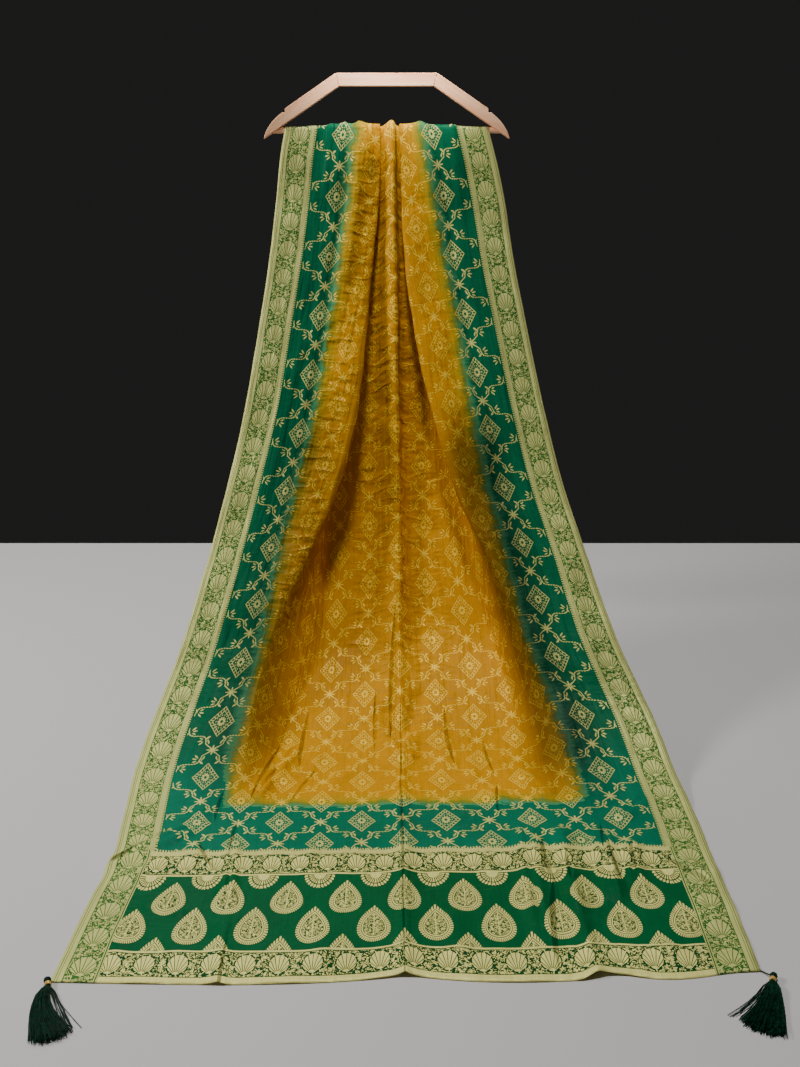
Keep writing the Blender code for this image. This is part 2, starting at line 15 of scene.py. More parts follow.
import bpy
import numpy as np
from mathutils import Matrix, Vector


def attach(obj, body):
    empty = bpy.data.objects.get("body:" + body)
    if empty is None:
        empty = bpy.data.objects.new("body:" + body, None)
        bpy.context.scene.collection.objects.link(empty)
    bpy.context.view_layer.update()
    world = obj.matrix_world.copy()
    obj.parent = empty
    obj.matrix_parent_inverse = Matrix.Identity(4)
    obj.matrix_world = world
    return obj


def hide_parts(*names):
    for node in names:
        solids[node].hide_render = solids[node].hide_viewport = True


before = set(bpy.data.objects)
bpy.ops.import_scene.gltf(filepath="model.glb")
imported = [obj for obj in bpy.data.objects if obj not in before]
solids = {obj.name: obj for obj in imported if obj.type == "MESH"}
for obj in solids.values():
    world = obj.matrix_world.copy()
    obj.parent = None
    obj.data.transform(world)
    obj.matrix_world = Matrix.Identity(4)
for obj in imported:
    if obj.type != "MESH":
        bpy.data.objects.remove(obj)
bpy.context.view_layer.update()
print("solids:", ", ".join(sorted(solids)))

# %% [markdown]
# ## Floor, light and camera
#
# The underside of the hanger's bar is at height zero, so the floor lies 1.085 m below it. The camera
# stands 2.2 m in front of the hanger and 0.9 m over the floor, and looks down a little, which is
# what gives the cloth its long trapezium. The main light hangs high over the hanging part, so that
# the deep valleys of the cloth fall into shade. A weaker one from the left shows the ripples, a
# small one reaches the hanger's boards, and one behind keeps the back from being black.

# %% Floor, light and camera
FLOOR_Z = -1.085
FLOOR_SIZE = 4.0
FLOOR_MIDDLE = (0, -1.40, FLOOR_Z - 0.0006)
CAMERA_PLACE = (0.025, -2.20, FLOOR_Z + 0.901)
CAMERA_TILT = math.radians(90 - 17.342)
FOCAL_IN_FRAME_HEIGHTS = 1100 / 1067
FILM_HEIGHT = 36.0


def dye(red, green, blue):
    """A colour as the eye names it, 0 to 255, in the linear values that a shader wants."""
    colour = (red, green, blue)
    return tuple(((c / 255 + 0.055) / 1.055) ** 2.4 if c > 10 else c / 3294.6 for c in colour)


def shader_of(material):
    return material.node_tree.nodes["Principled BSDF"]


def new_material(name, roughness, metallic=0.0):
    material = bpy.data.materials.new(name)
    material.use_nodes = True
    shader = shader_of(material)
    shader.inputs["Roughness"].default_value = roughness
    shader.inputs["Metallic"].default_value = metallic
    return material


bpy.ops.object.select_all(action="DESELECT")
bpy.ops.mesh.primitive_plane_add(size=FLOOR_SIZE, location=FLOOR_MIDDLE)
floor = bpy.context.object
floor.name = "studio_floor"
floor_paint = new_material("pale_floor", 0.85)
shader_of(floor_paint).inputs["Base Color"].default_value = (*dye(198, 195, 192), 1)
floor.data.materials.append(floor_paint)

studio = bpy.data.worlds.new("studio")
studio.use_nodes = True
studio.node_tree.nodes["Background"].inputs["Color"].default_value = (*dye(226, 224, 222), 1)
studio.node_tree.nodes["Background"].inputs["Strength"].default_value = 0.02
bpy.context.scene.world = studio


def soft_light(name, place, aim, size, power, spread=180):
    """A round area light that hangs at a place and points at its aim."""
    bpy.ops.object.light_add(type="AREA", location=place)
    lamp = bpy.context.object
    lamp.name = name
    lamp.data.shape = "DISK"
    lamp.data.size = size
    lamp.data.energy = power
    lamp.data.spread = math.radians(spread)
    lamp.rotation_euler = (Vector(aim) - Vector(place)).to_track_quat("-Z", "Y").to_euler()
    return lamp


soft_light("key", (-0.10, -0.40, 3.30), (0.02, -0.5, -0.8), 0.5, 126)
soft_light("side", (-2.40, -0.75, 0.75), (0.05, -0.35, -0.45), 0.7, 44)
soft_light("hanger", (-0.05, -0.45, 0.42), (0.0, 0.0, 0.15), 0.15, 1.4, 46)
soft_light("back", (-1.0, 2.8, 1.6), (0.0, 0.0, -0.5), 1.6, 22)

bpy.ops.object.camera_add(location=CAMERA_PLACE, rotation=(CAMERA_TILT, 0, 0))
camera = bpy.context.object
camera.name = "photo_view"
camera.data.sensor_fit = "VERTICAL"
camera.data.sensor_height = FILM_HEIGHT
camera.data.lens = FILM_HEIGHT * FOCAL_IN_FRAME_HEIGHTS
bpy.context.scene.camera = camera
print("lens", round(camera.data.lens, 1), "mm")

# %% [markdown]
# ## The sheet's folds
#
# The cloth is one sheet, cut 0.86 m wide and 2.4 m long. A cloth simulation would find folds of its
# own, but here the folds are known, so the sheet is laid on them. The table below has one row for
# each section across the cloth, from the rod to the front hem: the path of the two flat wings, the
# places of their folds, and how deep behind the wings each fold lies. These are the same sections as
# in the solid, so the sheet lies on the solid's own folds.

# %% The table of sections
CUT_WIDTH = 0.86
ROD_Z = -0.077
ROD_RADIUS = 0.0055
ROD_TO_CLOTH = 0.0004
SOLID_THICKNESS = 0.0012
LAYER_STEP = 0.0026
TUCK_GAP = 0.0080
ROW_LENGTH = 0.025
BACK_ROW_LENGTH = 0.040
BACK_HEM_HEIGHT = 0.36
BACK_LEAN = 0.010
WRAP_ROWS = 9
FRONT_TANGENT = math.radians(9.0)
HEM_SKEW = -0.022
HEM_SKEW_LENGTH = 0.30
HEM_WAVE_LENGTH = 0.12
REST_LENGTH = 0.115
WING_WAVE = 0.0012
WING_WAVE_LENGTH = 0.31
WING_STEPS = (0.0, 0.16, 0.34, 0.56, 0.78)

Section = namedtuple(
    "Section",
    "forward height left_edge left_crest left_tuck left_valley crease right_valley right_tuck"
    " right_crest right_edge roll turn tuck_depth valley_depth crease_depth bulge",
)
ON_ROD = Section(
    0.0, 1.008, -0.191, -0.013, -0.118, -0.007, 0.013, 0.019, 0.137, 0.024, 0.191,
    LAYER_STEP, 0.0010, LAYER_STEP, 2 * LAYER_STEP, -0.0075, 0.0045,
)
DRAPE = [
    Section(0.016, 0.975, -0.198, -0.013, -0.116, -0.009, 0.014, 0.020, 0.135, 0.025, 0.201,
            0.0042, 0.0022, 0.0048, 0.0095, -0.0068, 0.0043),
    Section(0.030, 0.895, -0.207, -0.014, -0.112, -0.012, 0.015, 0.022, 0.129, 0.026, 0.220,
            0.0080, 0.005, 0.010, 0.020, -0.005, 0.004),
    Section(0.072, 0.775, -0.221, -0.026, -0.111, -0.020, 0.017, 0.025, 0.122, 0.034, 0.239,
            0.0140, 0.008, 0.016, 0.032, 0.003, 0.004),
    Section(0.125, 0.635, -0.243, -0.039, -0.109, -0.026, 0.018, 0.028, 0.121, 0.054, 0.267,
            0.0180, 0.010, 0.023, 0.050, 0.015, 0.004),
    Section(0.185, 0.495, -0.267, -0.055, -0.109, -0.032, 0.020, 0.034, 0.140, 0.088, 0.297,
            0.0210, 0.013, 0.035, 0.070, 0.034, 0.003),
    Section(0.254, 0.370, -0.295, -0.092, -0.117, -0.036, 0.021, 0.042, 0.158, 0.130, 0.329,
            0.0220, 0.016, 0.054, 0.095, 0.062, 0.003),
    Section(0.335, 0.260, -0.322, -0.148, -0.115, -0.034, 0.023, 0.050, 0.164, 0.191, 0.366,
            0.0150, 0.022, 0.082, 0.109, 0.077, 0.003),
    Section(0.430, 0.153, -0.352, -0.200, -0.130, -0.032, 0.024, 0.054, 0.206, 0.243, 0.403,
            0.0070, 0.028, 0.086, 0.096, 0.086, 0.002),
    Section(0.530, 0.070, -0.382, -0.221, -0.168, -0.028, 0.026, 0.056, 0.229, 0.280, 0.444,
            0.0030, 0.030, 0.052, 0.060, 0.056, 0.002),
    Section(0.640, 0.018, -0.397, -0.226, -0.180, -0.020, 0.027, 0.060, 0.240, 0.295, 0.463,
            0.0010, 0.022, 0.015, 0.017, 0.015, 0.001),
    Section(0.740, 0.0006, -0.392, -0.228, -0.182, -0.012, 0.028, 0.066, 0.243, 0.298, 0.471,
            0.0005, 0.018, 0.000, 0.000, 0.000, 0.000),
    Section(0.850, 0.0006, -0.381, -0.228, -0.182, -0.008, 0.029, 0.068, 0.244, 0.298, 0.467,
            0.0005, 0.018, 0.000, 0.000, 0.000, 0.000),
    Section(0.960, 0.0006, -0.388, -0.229, -0.182, -0.006, 0.029, 0.070, 0.245, 0.298, 0.466,
            0.0005, 0.018, 0.000, 0.000, 0.000, 0.000),
    Section(1.100, 0.0006, -0.3915, -0.231, -0.183, -0.004, 0.030, 0.072, 0.246, 0.299, 0.461,
            0.0005, 0.018, 0.000, 0.000, 0.000, 0.000),
]
BACK_HEM = Section(
    -BACK_LEAN, BACK_HEM_HEIGHT, -0.214, -0.030, -0.118, -0.030, 0.012, 0.044, 0.139, 0.044, 0.212,
    0.0120, 0.006, 0.014, 0.034, -0.008, 0.004,
)

# How far the front hem wanders forward of a straight line between its corners
HemWave = namedtuple("HemWave", "x forward")
HEM_WAVES = [
    HemWave(-0.3915, 0.000), HemWave(-0.290, 0.005), HemWave(-0.160, 0.010), HemWave(-0.070, 0.0085),
    HemWave(-0.025, 0.006), HemWave(0.030, -0.002), HemWave(0.060, 0.002), HemWave(0.095, 0.010),
    HemWave(0.238, 0.015), HemWave(0.262, 0.001), HemWave(0.297, 0.003), HemWave(0.330, 0.011),
    HemWave(0.370, 0.012), HemWave(0.425, 0.001), HemWave(0.461, 0.000),
]
print(len(DRAPE) + 1, "sections from the rod to the front hem")

# %% [markdown]
# ### From sections to a net of points
#
# Between two sections the values follow a smooth curve, and each row of points stands at right
# angles to the wings' path. Round the rod, the rows turn with it. Across a row, each fold gets a
# few points of its own, so that the columns of the net run along the folds and none is cut off.


# %% Rows along the cloth
def smooth_rows(positions, values, wanted):
    """Read a table of rows along a smooth curve, at the wanted positions."""
    slopes = np.gradient(values, positions, axis=0)
    rows = []
    for place in wanted:
        k = int(np.clip(np.searchsorted(positions, place) - 1, 0, len(positions) - 2))
        span = positions[k + 1] - positions[k]
        t = (place - positions[k]) / span
        rows.append(
            values[k] * (1 + 2 * t) * (1 - t) ** 2
            + slopes[k] * span * t * (1 - t) ** 2
            + values[k + 1] * t * t * (3 - 2 * t)
            - slopes[k + 1] * span * t * t * (1 - t)
        )
    return np.array(rows)


def rows_of_the_drape():
    """Each row as (forward and z, the direction behind the cloth, section, share of the rod)."""
    radius = ROD_RADIUS + ROD_TO_CLOTH + SOLID_THICKNESS / 2 + 2 * LAYER_STEP
    table = np.array([ON_ROD] + DRAPE)
    table[:, 1] += FLOOR_Z
    table[0, :2] = (radius * math.cos(FRONT_TANGENT), ROD_Z + radius * math.sin(FRONT_TANGENT))
    steps = np.linalg.norm(np.diff(table[:, :2], axis=0), axis=1)
    places = np.concatenate([[0.0], np.cumsum(steps)])
    count = int(round(places[-1] / ROW_LENGTH))
    wanted = np.linspace(0.0, places[-1], count + 1)
    values = smooth_rows(places, table, wanted)
    along = np.gradient(values[:, :2], axis=0)
    along /= np.linalg.norm(along, axis=1)[:, None]
    rows = []
    for k in range(count, 0, -1):
        behind = np.array([along[k, 1], -along[k, 0]])
        rows.append((values[k, :2], behind, Section(*values[k]), max(0.0, 1 - wanted[k] / REST_LENGTH)))
    for k in range(WRAP_ROWS + 1):
        turn = FRONT_TANGENT + (math.pi - FRONT_TANGENT) * k / WRAP_ROWS
        out = np.array([math.cos(turn), math.sin(turn)])
        rows.append((np.array([0.0, ROD_Z]) + radius * out, -out, ON_ROD, 1.0))
    top, hem = np.array(ON_ROD), np.array(BACK_HEM)
    top[:2] = (-radius, ROD_Z - FLOOR_Z)
    hem[0] += -radius
    back_count = int(round((top[1] - hem[1]) / BACK_ROW_LENGTH))
    for k in range(1, back_count + 1):
        t = k / back_count
        section = Section(*(top * (1 - t) + hem * t))
        place = np.array([section.forward, section.height + FLOOR_Z])
        rows.append((place, np.array([1.0, 0.0]), section, max(0.0, 1 - 3 * t)))
    return rows


print(len(rows_of_the_drape()), "rows from the front hem over the rod to the back hem")


# %% Columns across the cloth
def rounded_fold(before, first, second, after, turn, soft):
    """Points that turn round a fold of the sheet, between its two corners."""
    back = before - first
    on = after - second
    back *= min(turn / max(np.linalg.norm(back), 1e-9), 0.35)
    on *= min(turn / max(np.linalg.norm(on), 1e-9), 0.35)
    if soft:
        return [first + back, first * 0.78 + second * 0.22, first * 0.22 + second * 0.78, second + on]
    return [first + back, (first + second) / 2, second + on]


def half_of_a_section(edge, crest, tuck, valley, section, rod_share, pleat):
    """(x, depth) from the outer edge, round the crest and the tuck, to the middle pleat."""
    roll = section.roll
    press = min(roll, TUCK_GAP)
    outer = np.array([edge, 2 * LAYER_STEP * rod_share])
    crest_front, crest_back = np.array([crest, 0.0]), np.array([crest, roll])
    tuck_front = np.array([tuck, section.tuck_depth])
    tuck_back = np.array([tuck, section.tuck_depth + press])
    valley_floor = np.array([valley, section.valley_depth])
    ridge = np.array([section.crease, section.crease_depth])
    points = []
    for step in WING_STEPS:
        place = outer + (crest_front - outer) * step
        place[1] = outer[1] * (1.0 if step < 0.3 else max(0.0, 1 - (step - 0.3) / 0.22))
        points.append(place)
    points += rounded_fold(outer, crest_front, crest_back, tuck_front, section.turn, True)
    points.append((crest_back + tuck_front) / 2)
    points += rounded_fold(crest_back, tuck_front, tuck_back, valley_floor, press, False)
    points += [tuck_back + (valley_floor - tuck_back) * share for share in (0.36, 0.72)]
    points.append(valley_floor)
    for share, swell in pleat:
        points.append(valley_floor + (ridge - valley_floor) * share - np.array([0, section.bulge * swell]))
    return points


def whole_section(s, rod_share):
    """(x, depth) of every column in one section, from the left edge to the right edge."""
    left = half_of_a_section(
        s.left_edge, s.left_crest, s.left_tuck, s.left_valley, s, rod_share, ((0.35, 0.8), (0.72, 1.0))
    )
    right = half_of_a_section(
        s.right_edge, s.right_crest, s.right_tuck, s.right_valley, s, rod_share, ((0.55, 0.0),)
    )
    return np.array(left + [np.array([s.crease, s.crease_depth])] + right[::-1])


def hem_shift(x):
    """How far the front hem wanders forward at this x."""
    places, shifts = zip(*HEM_WAVES)
    return np.interp(x, places, shifts)


def net_of_points():
    """Every row of points in space, from the front hem over the rod to the back hem."""
    net = []
    for place, behind, section, rod_share in rows_of_the_drape():
        on_floor = np.clip((section.forward - 0.45) / 0.25, 0, 1) if behind[1] < 0 else 0.0
        free = min(1.0, max(0.0, (section.forward - 0.06) / 0.2)) * (1 - on_floor)
        skew = np.clip((section.forward - (1.10 - HEM_SKEW_LENGTH)) / HEM_SKEW_LENGTH, 0, 1)
        wave_share = np.clip((section.forward - (1.10 - HEM_WAVE_LENGTH)) / HEM_WAVE_LENGTH, 0, 1) ** 2
        line = []
        for x, depth in whole_section(section, rod_share):
            swing = 2 * math.pi * (place[0] - place[1]) / WING_WAVE_LENGTH + 7 * x
            depth = depth + WING_WAVE * free * math.sin(swing)
            forward = place[0] + behind[0] * depth + HEM_SKEW * x * skew + hem_shift(x) * wave_share
            line.append((x, -forward, place[1] + behind[1] * depth))
        net.append(line)
    return np.array(net)


net = net_of_points()
front_rows = sum(1 for row in rows_of_the_drape() if row[2].forward > 0)
print("net of", net.shape[0], "rows and", net.shape[1], "columns,", front_rows, "rows in front")

# %% [markdown]
# ### A finer net, measured in cloth
#
# The net is read again along smooth curves, which rounds the folds as a subdivision surface does.
# Each span is cut into as many parts as it needs: many on the floor, where the wrinkles are fine,
# few on the straight hanging part. Then every point is given its own place in the flat cloth: how
# far it is from the left selvedge and from the front hem, measured along the threads. The pattern
# is woven by those two numbers, so it bends and disappears into the folds as a real one.

# %% Refine the net and measure it
WING_CUTS = [5, 5, 6, 6, 6]
CREST_CUTS = [2, 2, 2, 4, 4]
TUCK_CUTS = [2, 2, 10, 10, 8]
FLOOR_ROWS = 30


def places_in(cuts):
    """Where to read a line of points, with each of its spans cut into as many parts as given."""
    return np.concatenate([k + np.arange(count) / count for k, count in enumerate(cuts)] + [[len(cuts)]])


def rounded(points, cuts):
    """Read a net of points along smooth curves through its rows, a cubic B-spline."""
    places = places_in(cuts)
    ends = np.concatenate([[2 * points[0] - points[1]], points, [2 * points[-1] - points[-2]]])
    k = np.minimum(places.astype(int), len(points) - 2)
    t = (places - k).reshape(-1, 1, 1)
    weights = ((1 - t) ** 3, 3 * t**3 - 6 * t**2 + 4, -3 * t**3 + 3 * t**2 + 3 * t + 1, t**3)
    return sum(ends[k + step] * weight for step, weight in enumerate(weights)) / 6


def measured(points, across):
    """Distance along the threads from the first point of each line, in metres."""
    axis = 1 if across else 0
    steps = np.linalg.norm(np.diff(points, axis=axis), axis=2)
    zero = np.zeros((len(points), 1)) if across else np.zeros((1, points.shape[1]))
    return np.concatenate([zero, np.cumsum(steps, axis=axis)], axis=axis)


half_cuts = WING_CUTS + CREST_CUTS + TUCK_CUTS
column_cuts = half_cuts + [3, 3, 3] + [3, 3] + half_cuts[::-1]
hanging_rows = front_rows - FLOOR_ROWS
back_rows = len(net) - 1 - front_rows - WRAP_ROWS
row_cuts = [5] * FLOOR_ROWS + [2] * hanging_rows + [3] * WRAP_ROWS + [2] * back_rows
net = rounded(net, row_cuts)
net = rounded(net.transpose(1, 0, 2), column_cuts).transpose(1, 0, 2)
middle_column = sum(half_cuts) + 9
half_width = CUT_WIDTH / 2
from_selvedge = measured(net, True)
to_crease = from_selvedge[:, middle_column, None]
to_far_edge = from_selvedge[:, -1:] - to_crease
from_selvedge = np.where(
    from_selvedge <= to_crease,
    from_selvedge * half_width / to_crease,
    half_width + (from_selvedge - to_crease) * half_width / to_far_edge,
)
from_hem = measured(net, False)
from_hem -= hem_shift(net[0, :, 0])[None, :] * np.clip(from_hem / HEM_WAVE_LENGTH, 0, 1)

# %% [markdown]
# ### Creases and ripples
#
# Real silk keeps small marks: the sharp storage crease down its middle, soft dents where it slid
# over the floor, and ripples where it is gathered on the rod. Each row of this table is one crease,
# from one place in the flat cloth to another, with its height and half width. A soft one is a round
# ridge or trough, a cusp has a sharp top, and a cut is a ridge with a sharp line sunk in its middle.

# %% The table of creases
Crease = namedtuple("Crease", "across0 up0 across1 up1 height half_width kind")
CREASES = [
    # The storage crease down the middle, and the buckle where the pleat meets the floor
    Crease(0.430, -0.02, 0.430, 0.56, 0.0120, 0.0120, "cusp"),
    Crease(0.430, 0.54, 0.430, 1.60, 0.0045, 0.0070, "cusp"),
    Crease(0.400, 0.660, 0.426, 0.560, -0.0080, 0.012, "soft"),
    Crease(0.470, 0.700, 0.436, 0.560, -0.0070, 0.012, "soft"),
    Crease(0.396, 0.640, 0.420, 0.500, 0.0090, 0.011, "cut"),
    Crease(0.452, 0.600, 0.436, 0.500, 0.0080, 0.010, "cut"),
    # Wrinkles on the floor, left of the middle and then right of it
    Crease(0.262, 0.570, 0.190, 0.395, 0.0085, 0.012, "cut"),
    Crease(0.290, 0.545, 0.272, 0.470, 0.0060, 0.011, "cut"),
    Crease(0.240, 0.520, 0.238, 0.440, 0.0050, 0.012, "soft"),
    Crease(0.372, 0.570, 0.362, 0.480, 0.0060, 0.012, "cut"),
    Crease(0.340, 0.500, 0.315, 0.420, 0.0045, 0.014, "soft"),
    Crease(0.500, 0.560, 0.508, 0.460, 0.0065, 0.011, "cut"),
    Crease(0.560, 0.430, 0.585, 0.375, 0.0070, 0.012, "cut"),
    Crease(0.545, 0.530, 0.540, 0.450, 0.0050, 0.014, "soft"),
    Crease(0.620, 0.470, 0.655, 0.400, 0.0070, 0.013, "cut"),
    Crease(0.108, 0.390, 0.124, 0.322, 0.0065, 0.010, "cut"),
    # The pinched left border and the dents of the pallu
    Crease(-0.02, 0.222, 0.118, 0.336, 0.0125, 0.014, "cut"),
    Crease(0.020, 0.200, 0.090, 0.250, 0.0050, 0.014, "soft"),
    Crease(0.052, 0.300, 0.062, 0.380, 0.0040, 0.010, "soft"),
    Crease(0.205, -0.02, 0.190, 0.130, 0.0065, 0.011, "cusp"),
    Crease(0.190, 0.120, 0.170, 0.310, 0.0060, 0.010, "cut"),
    Crease(0.112, 0.310, 0.120, 0.210, 0.0060, 0.009, "cut"),
    Crease(0.100, 0.150, 0.140, 0.120, 0.0045, 0.012, "soft"),
    Crease(0.330, 0.010, 0.320, 0.090, 0.0035, 0.014, "soft"),
    Crease(0.060, 0.020, 0.075, 0.130, 0.0040, 0.013, "soft"),
    Crease(0.280, 0.210, 0.300, 0.290, 0.0040, 0.012, "soft"),
    Crease(0.350, 0.230, 0.352, 0.320, 0.0040, 0.010, "cut"),
    # The two folds that run up from the step in the hem
    Crease(0.603, 0.060, 0.606, 0.340, 0.0100, 0.014, "cut"),
    Crease(0.654, 0.110, 0.655, 0.340, 0.0150, 0.014, "cusp"),
    Crease(0.662, -0.02, 0.652, 0.170, 0.0125, 0.015, "cusp"),
    Crease(0.704, 0.120, 0.714, 0.310, 0.0130, 0.013, "cut"),
    Crease(0.742, 0.170, 0.750, 0.290, 0.0090, 0.011, "cut"),
    Crease(0.775, 0.060, 0.700, 0.010, 0.0050, 0.016, "soft"),
    Crease(0.815, 0.080, 0.850, 0.230, 0.0065, 0.014, "cut"),
    Crease(0.735, 0.330, 0.800, 0.400, 0.0065, 0.013, "cut"),
    Crease(0.500, 0.030, 0.490, 0.130, 0.0035, 0.014, "soft"),
    Crease(0.545, 0.200, 0.540, 0.300, 0.0040, 0.011, "cut"),
    # The gathers on the rod
    Crease(0.116, 1.775, 0.114, 1.500, 0.0050, 0.007, "soft"),
    Crease(0.154, 1.740, 0.150, 1.400, 0.0110, 0.014, "soft"),
    Crease(0.140, 1.735, 0.162, 1.690, 0.0060, 0.008, "soft"),
    Crease(0.162, 1.705, 0.182, 1.640, 0.0090, 0.009, "soft"),
    Crease(0.126, 1.690, 0.128, 1.100, -0.0070, 0.009, "soft"),
    Crease(0.090, 1.760, 0.094, 1.560, 0.0035, 0.008, "soft"),
    Crease(0.726, 1.775, 0.722, 1.480, 0.0060, 0.010, "soft"),
    Crease(0.742, 1.690, 0.738, 1.150, -0.0085, 0.010, "soft"),
    Crease(0.790, 1.750, 0.776, 1.560, 0.0035, 0.009, "soft"),
    # Long soft waves of the wings
    Crease(0.070, 1.300, 0.074, 0.900, 0.0025, 0.010, "soft"),
    Crease(0.790, 1.400, 0.782, 0.900, 0.0025, 0.010, "soft"),
    Crease(0.096, 1.560, 0.100, 0.950, -0.0028, 0.007, "soft"),
    Crease(0.150, 1.400, 0.156, 1.000, -0.0030, 0.012, "soft"),
    Crease(0.706, 1.420, 0.700, 0.980, -0.0030, 0.012, "soft"),
    Crease(0.752, 1.600, 0.756, 1.000, -0.0030, 0.007, "soft"),
    Crease(0.045, 0.900, 0.075, 0.620, 0.0030, 0.012, "soft"),
    Crease(0.820, 0.900, 0.800, 0.620, 0.0030, 0.012, "soft"),
]
# Creases that end below this place lie on the floor, where they are pressed flatter
SWEEP_FOOT = 0.60
FLOOR_SHARE = 0.70
# The line of a cut is sharper than its ridge, and the two sides still rise to about its height
CUT_SHARPNESS = 2.6
CUT_FACTOR = 1.9
# A crease fades out over the first and the last fifth of its run
FADES = 5


def hand_made_relief(across, up):
    """Height of the creases over the smooth folds, for every place in the flat cloth."""
    total = np.zeros_like(across)
    for c in CREASES:
        run = np.array([c.across1 - c.across0, c.up1 - c.up0])
        t = np.clip(((across - c.across0) * run[0] + (up - c.up0) * run[1]) / (run @ run), 0, 1)
        away = np.hypot(across - c.across0 - run[0] * t, up - c.up0 - run[1] * t) / c.half_width
        runs_off = c.across0 < 0 or c.up0 < 0
        start = np.ones_like(t) if runs_off else np.clip(t * FADES, 0, 1)
        fade = np.minimum(start, np.clip((1 - t) * FADES, 0, 1))
        fade = fade * fade * (3 - 2 * fade)
        profile = np.exp(-away if c.kind == "cusp" else -(away**2))
        if c.kind == "cut":
            profile = CUT_FACTOR * (profile - np.exp(-away * CUT_SHARPNESS))
        pressed = FLOOR_SHARE if max(c.up0, c.up1) < SWEEP_FOOT else 1.0
        total += c.height * pressed * fade * profile
    return total


def crumple(across, up):
    """Small uneven waves, the sum of a few that cross each other."""
    waves = (
        (23, 61, 0.3, 0.00050), (47, -38, 1.9, 0.00045), (-71, 29, 4.2, 0.00040),
        (95, 77, 2.7, 0.00030), (-33, -101, 5.5, 0.00030), (128, 12, 0.8, 0.00025),
    )
    total = np.zeros_like(across)
    for along_x, along_y, start, height in waves:
        bend = 1.3 * np.sin(9 * up + 5 * across + start)
        total += height * np.sin(along_x * across + along_y * up + start + bend)
    return total


down = np.gradient(net, axis=0)
right = np.gradient(net, axis=1)
outward = np.cross(right, down)
outward /= np.maximum(np.linalg.norm(outward, axis=2, keepdims=True), 1e-12)
if outward[5, net.shape[1] // 2, 2] < 0:
    outward = -outward
relief = hand_made_relief(from_selvedge, from_hem) + crumple(from_selvedge, from_hem)
print(len(CREASES), "creases, up to", round(relief.max() * 1000, 1), "mm high")

# %% [markdown]
# ### Keep the layers apart
#
# Layers that lie close must not cross, or patches of a hidden one show through. Behind the rod the
# relief is kept low, and the right wing is lifted off the fold that lies close under it. The inmost
# layer is pushed off the rod, and nothing goes under the floor.

# %% Keep the layers apart
SHEET_THICKNESS = 0.0006
RELIEF_BEHIND_ROD = 0.25
WING_LIFT = 0.0010
WING_LIFT_PLACE = 0.790
WING_LIFT_HALF_WIDTH = 0.020

behind_rod = np.clip((net[:, :, 1] + 0.004) / 0.010, 0, 1)
relief *= 1 - (1 - RELIEF_BEHIND_ROD) * behind_rod
from_lift = (from_selvedge - WING_LIFT_PLACE) / WING_LIFT_HALF_WIDTH
relief += WING_LIFT * behind_rod * np.exp(-(from_lift**2))
places = net + outward * relief[:, :, None]
places[:, :, 2] = np.maximum(places[:, :, 2], FLOOR_Z + SHEET_THICKNESS / 2)
from_rod = np.hypot(places[:, :, 1], places[:, :, 2] - ROD_Z)
least = ROD_RADIUS + ROD_TO_CLOTH + SHEET_THICKNESS / 2
push = np.maximum(1, least / np.maximum(from_rod, 1e-6))
places[:, :, 1] *= push
places[:, :, 2] = ROD_Z + (places[:, :, 2] - ROD_Z) * push
print("relief from", round(relief.min() * 1000, 1), "to", round(relief.max() * 1000, 1), "mm")

# %% [markdown]
# ### The sheet itself
#
# A flat grid is added with as many rows and columns as the net, and each of its points is moved to
# its place on the folds. Its UV map holds the place of each point in the flat cloth, in metres.
# Solidify then gives the silk its thickness, so that the hems and selvedges have an edge.

# %% Lay the sheet on its folds
rows, columns = places.shape[:2]
bpy.ops.object.select_all(action="DESELECT")
bpy.ops.mesh.primitive_grid_add(x_subdivisions=columns - 1, y_subdivisions=rows - 1, size=1)
cloth = bpy.context.object
cloth.name = "silk_dupatta"
grid_points = np.empty(len(cloth.data.vertices) * 3)
cloth.data.vertices.foreach_get("co", grid_points)
grid_points = grid_points.reshape(-1, 3)
column_of = np.rint((grid_points[:, 0] + 0.5) * (columns - 1)).astype(int)
row_of = np.rint((grid_points[:, 1] + 0.5) * (rows - 1)).astype(int)
cloth.data.vertices.foreach_set("co", places[row_of, column_of].ravel())
corner_points = np.empty(len(cloth.data.loops), dtype=int)
cloth.data.loops.foreach_get("vertex_index", corner_points)
woven_places = np.stack([from_selvedge[row_of, column_of], from_hem[row_of, column_of]], axis=1)
plan = cloth.data.uv_layers[0]
plan.name = "woven_plan"
plan.data.foreach_set("uv", woven_places[corner_points].ravel())
cloth.data.update()
bpy.ops.object.mode_set(mode="EDIT")
bpy.ops.mesh.select_all(action="SELECT")
bpy.ops.mesh.normals_make_consistent(inside=False)
bpy.ops.object.mode_set(mode="OBJECT")
if cloth.data.polygons[columns * 3].normal.z < 0:
    cloth.data.flip_normals()
bpy.ops.object.shade_smooth()
hem = cloth.modifiers.new("silk_thickness", "SOLIDIFY")
hem.thickness = SHEET_THICKNESS
hem.offset = 0.0
bpy.ops.object.modifier_apply(modifier=hem.name)
print("sheet:", len(cloth.data.polygons), "faces")

# %% [markdown]
# ## The woven pattern
#
# Banarasi patterns are charted on squared paper and woven with extra metal threads, called zari. A
# procedural material can be charted in the same way: every motif is a sum that asks how far a place
# in the flat cloth is from the middle of the motif. `Sum` below lets such sums be written as plain
# arithmetic, and each one adds a Math node.


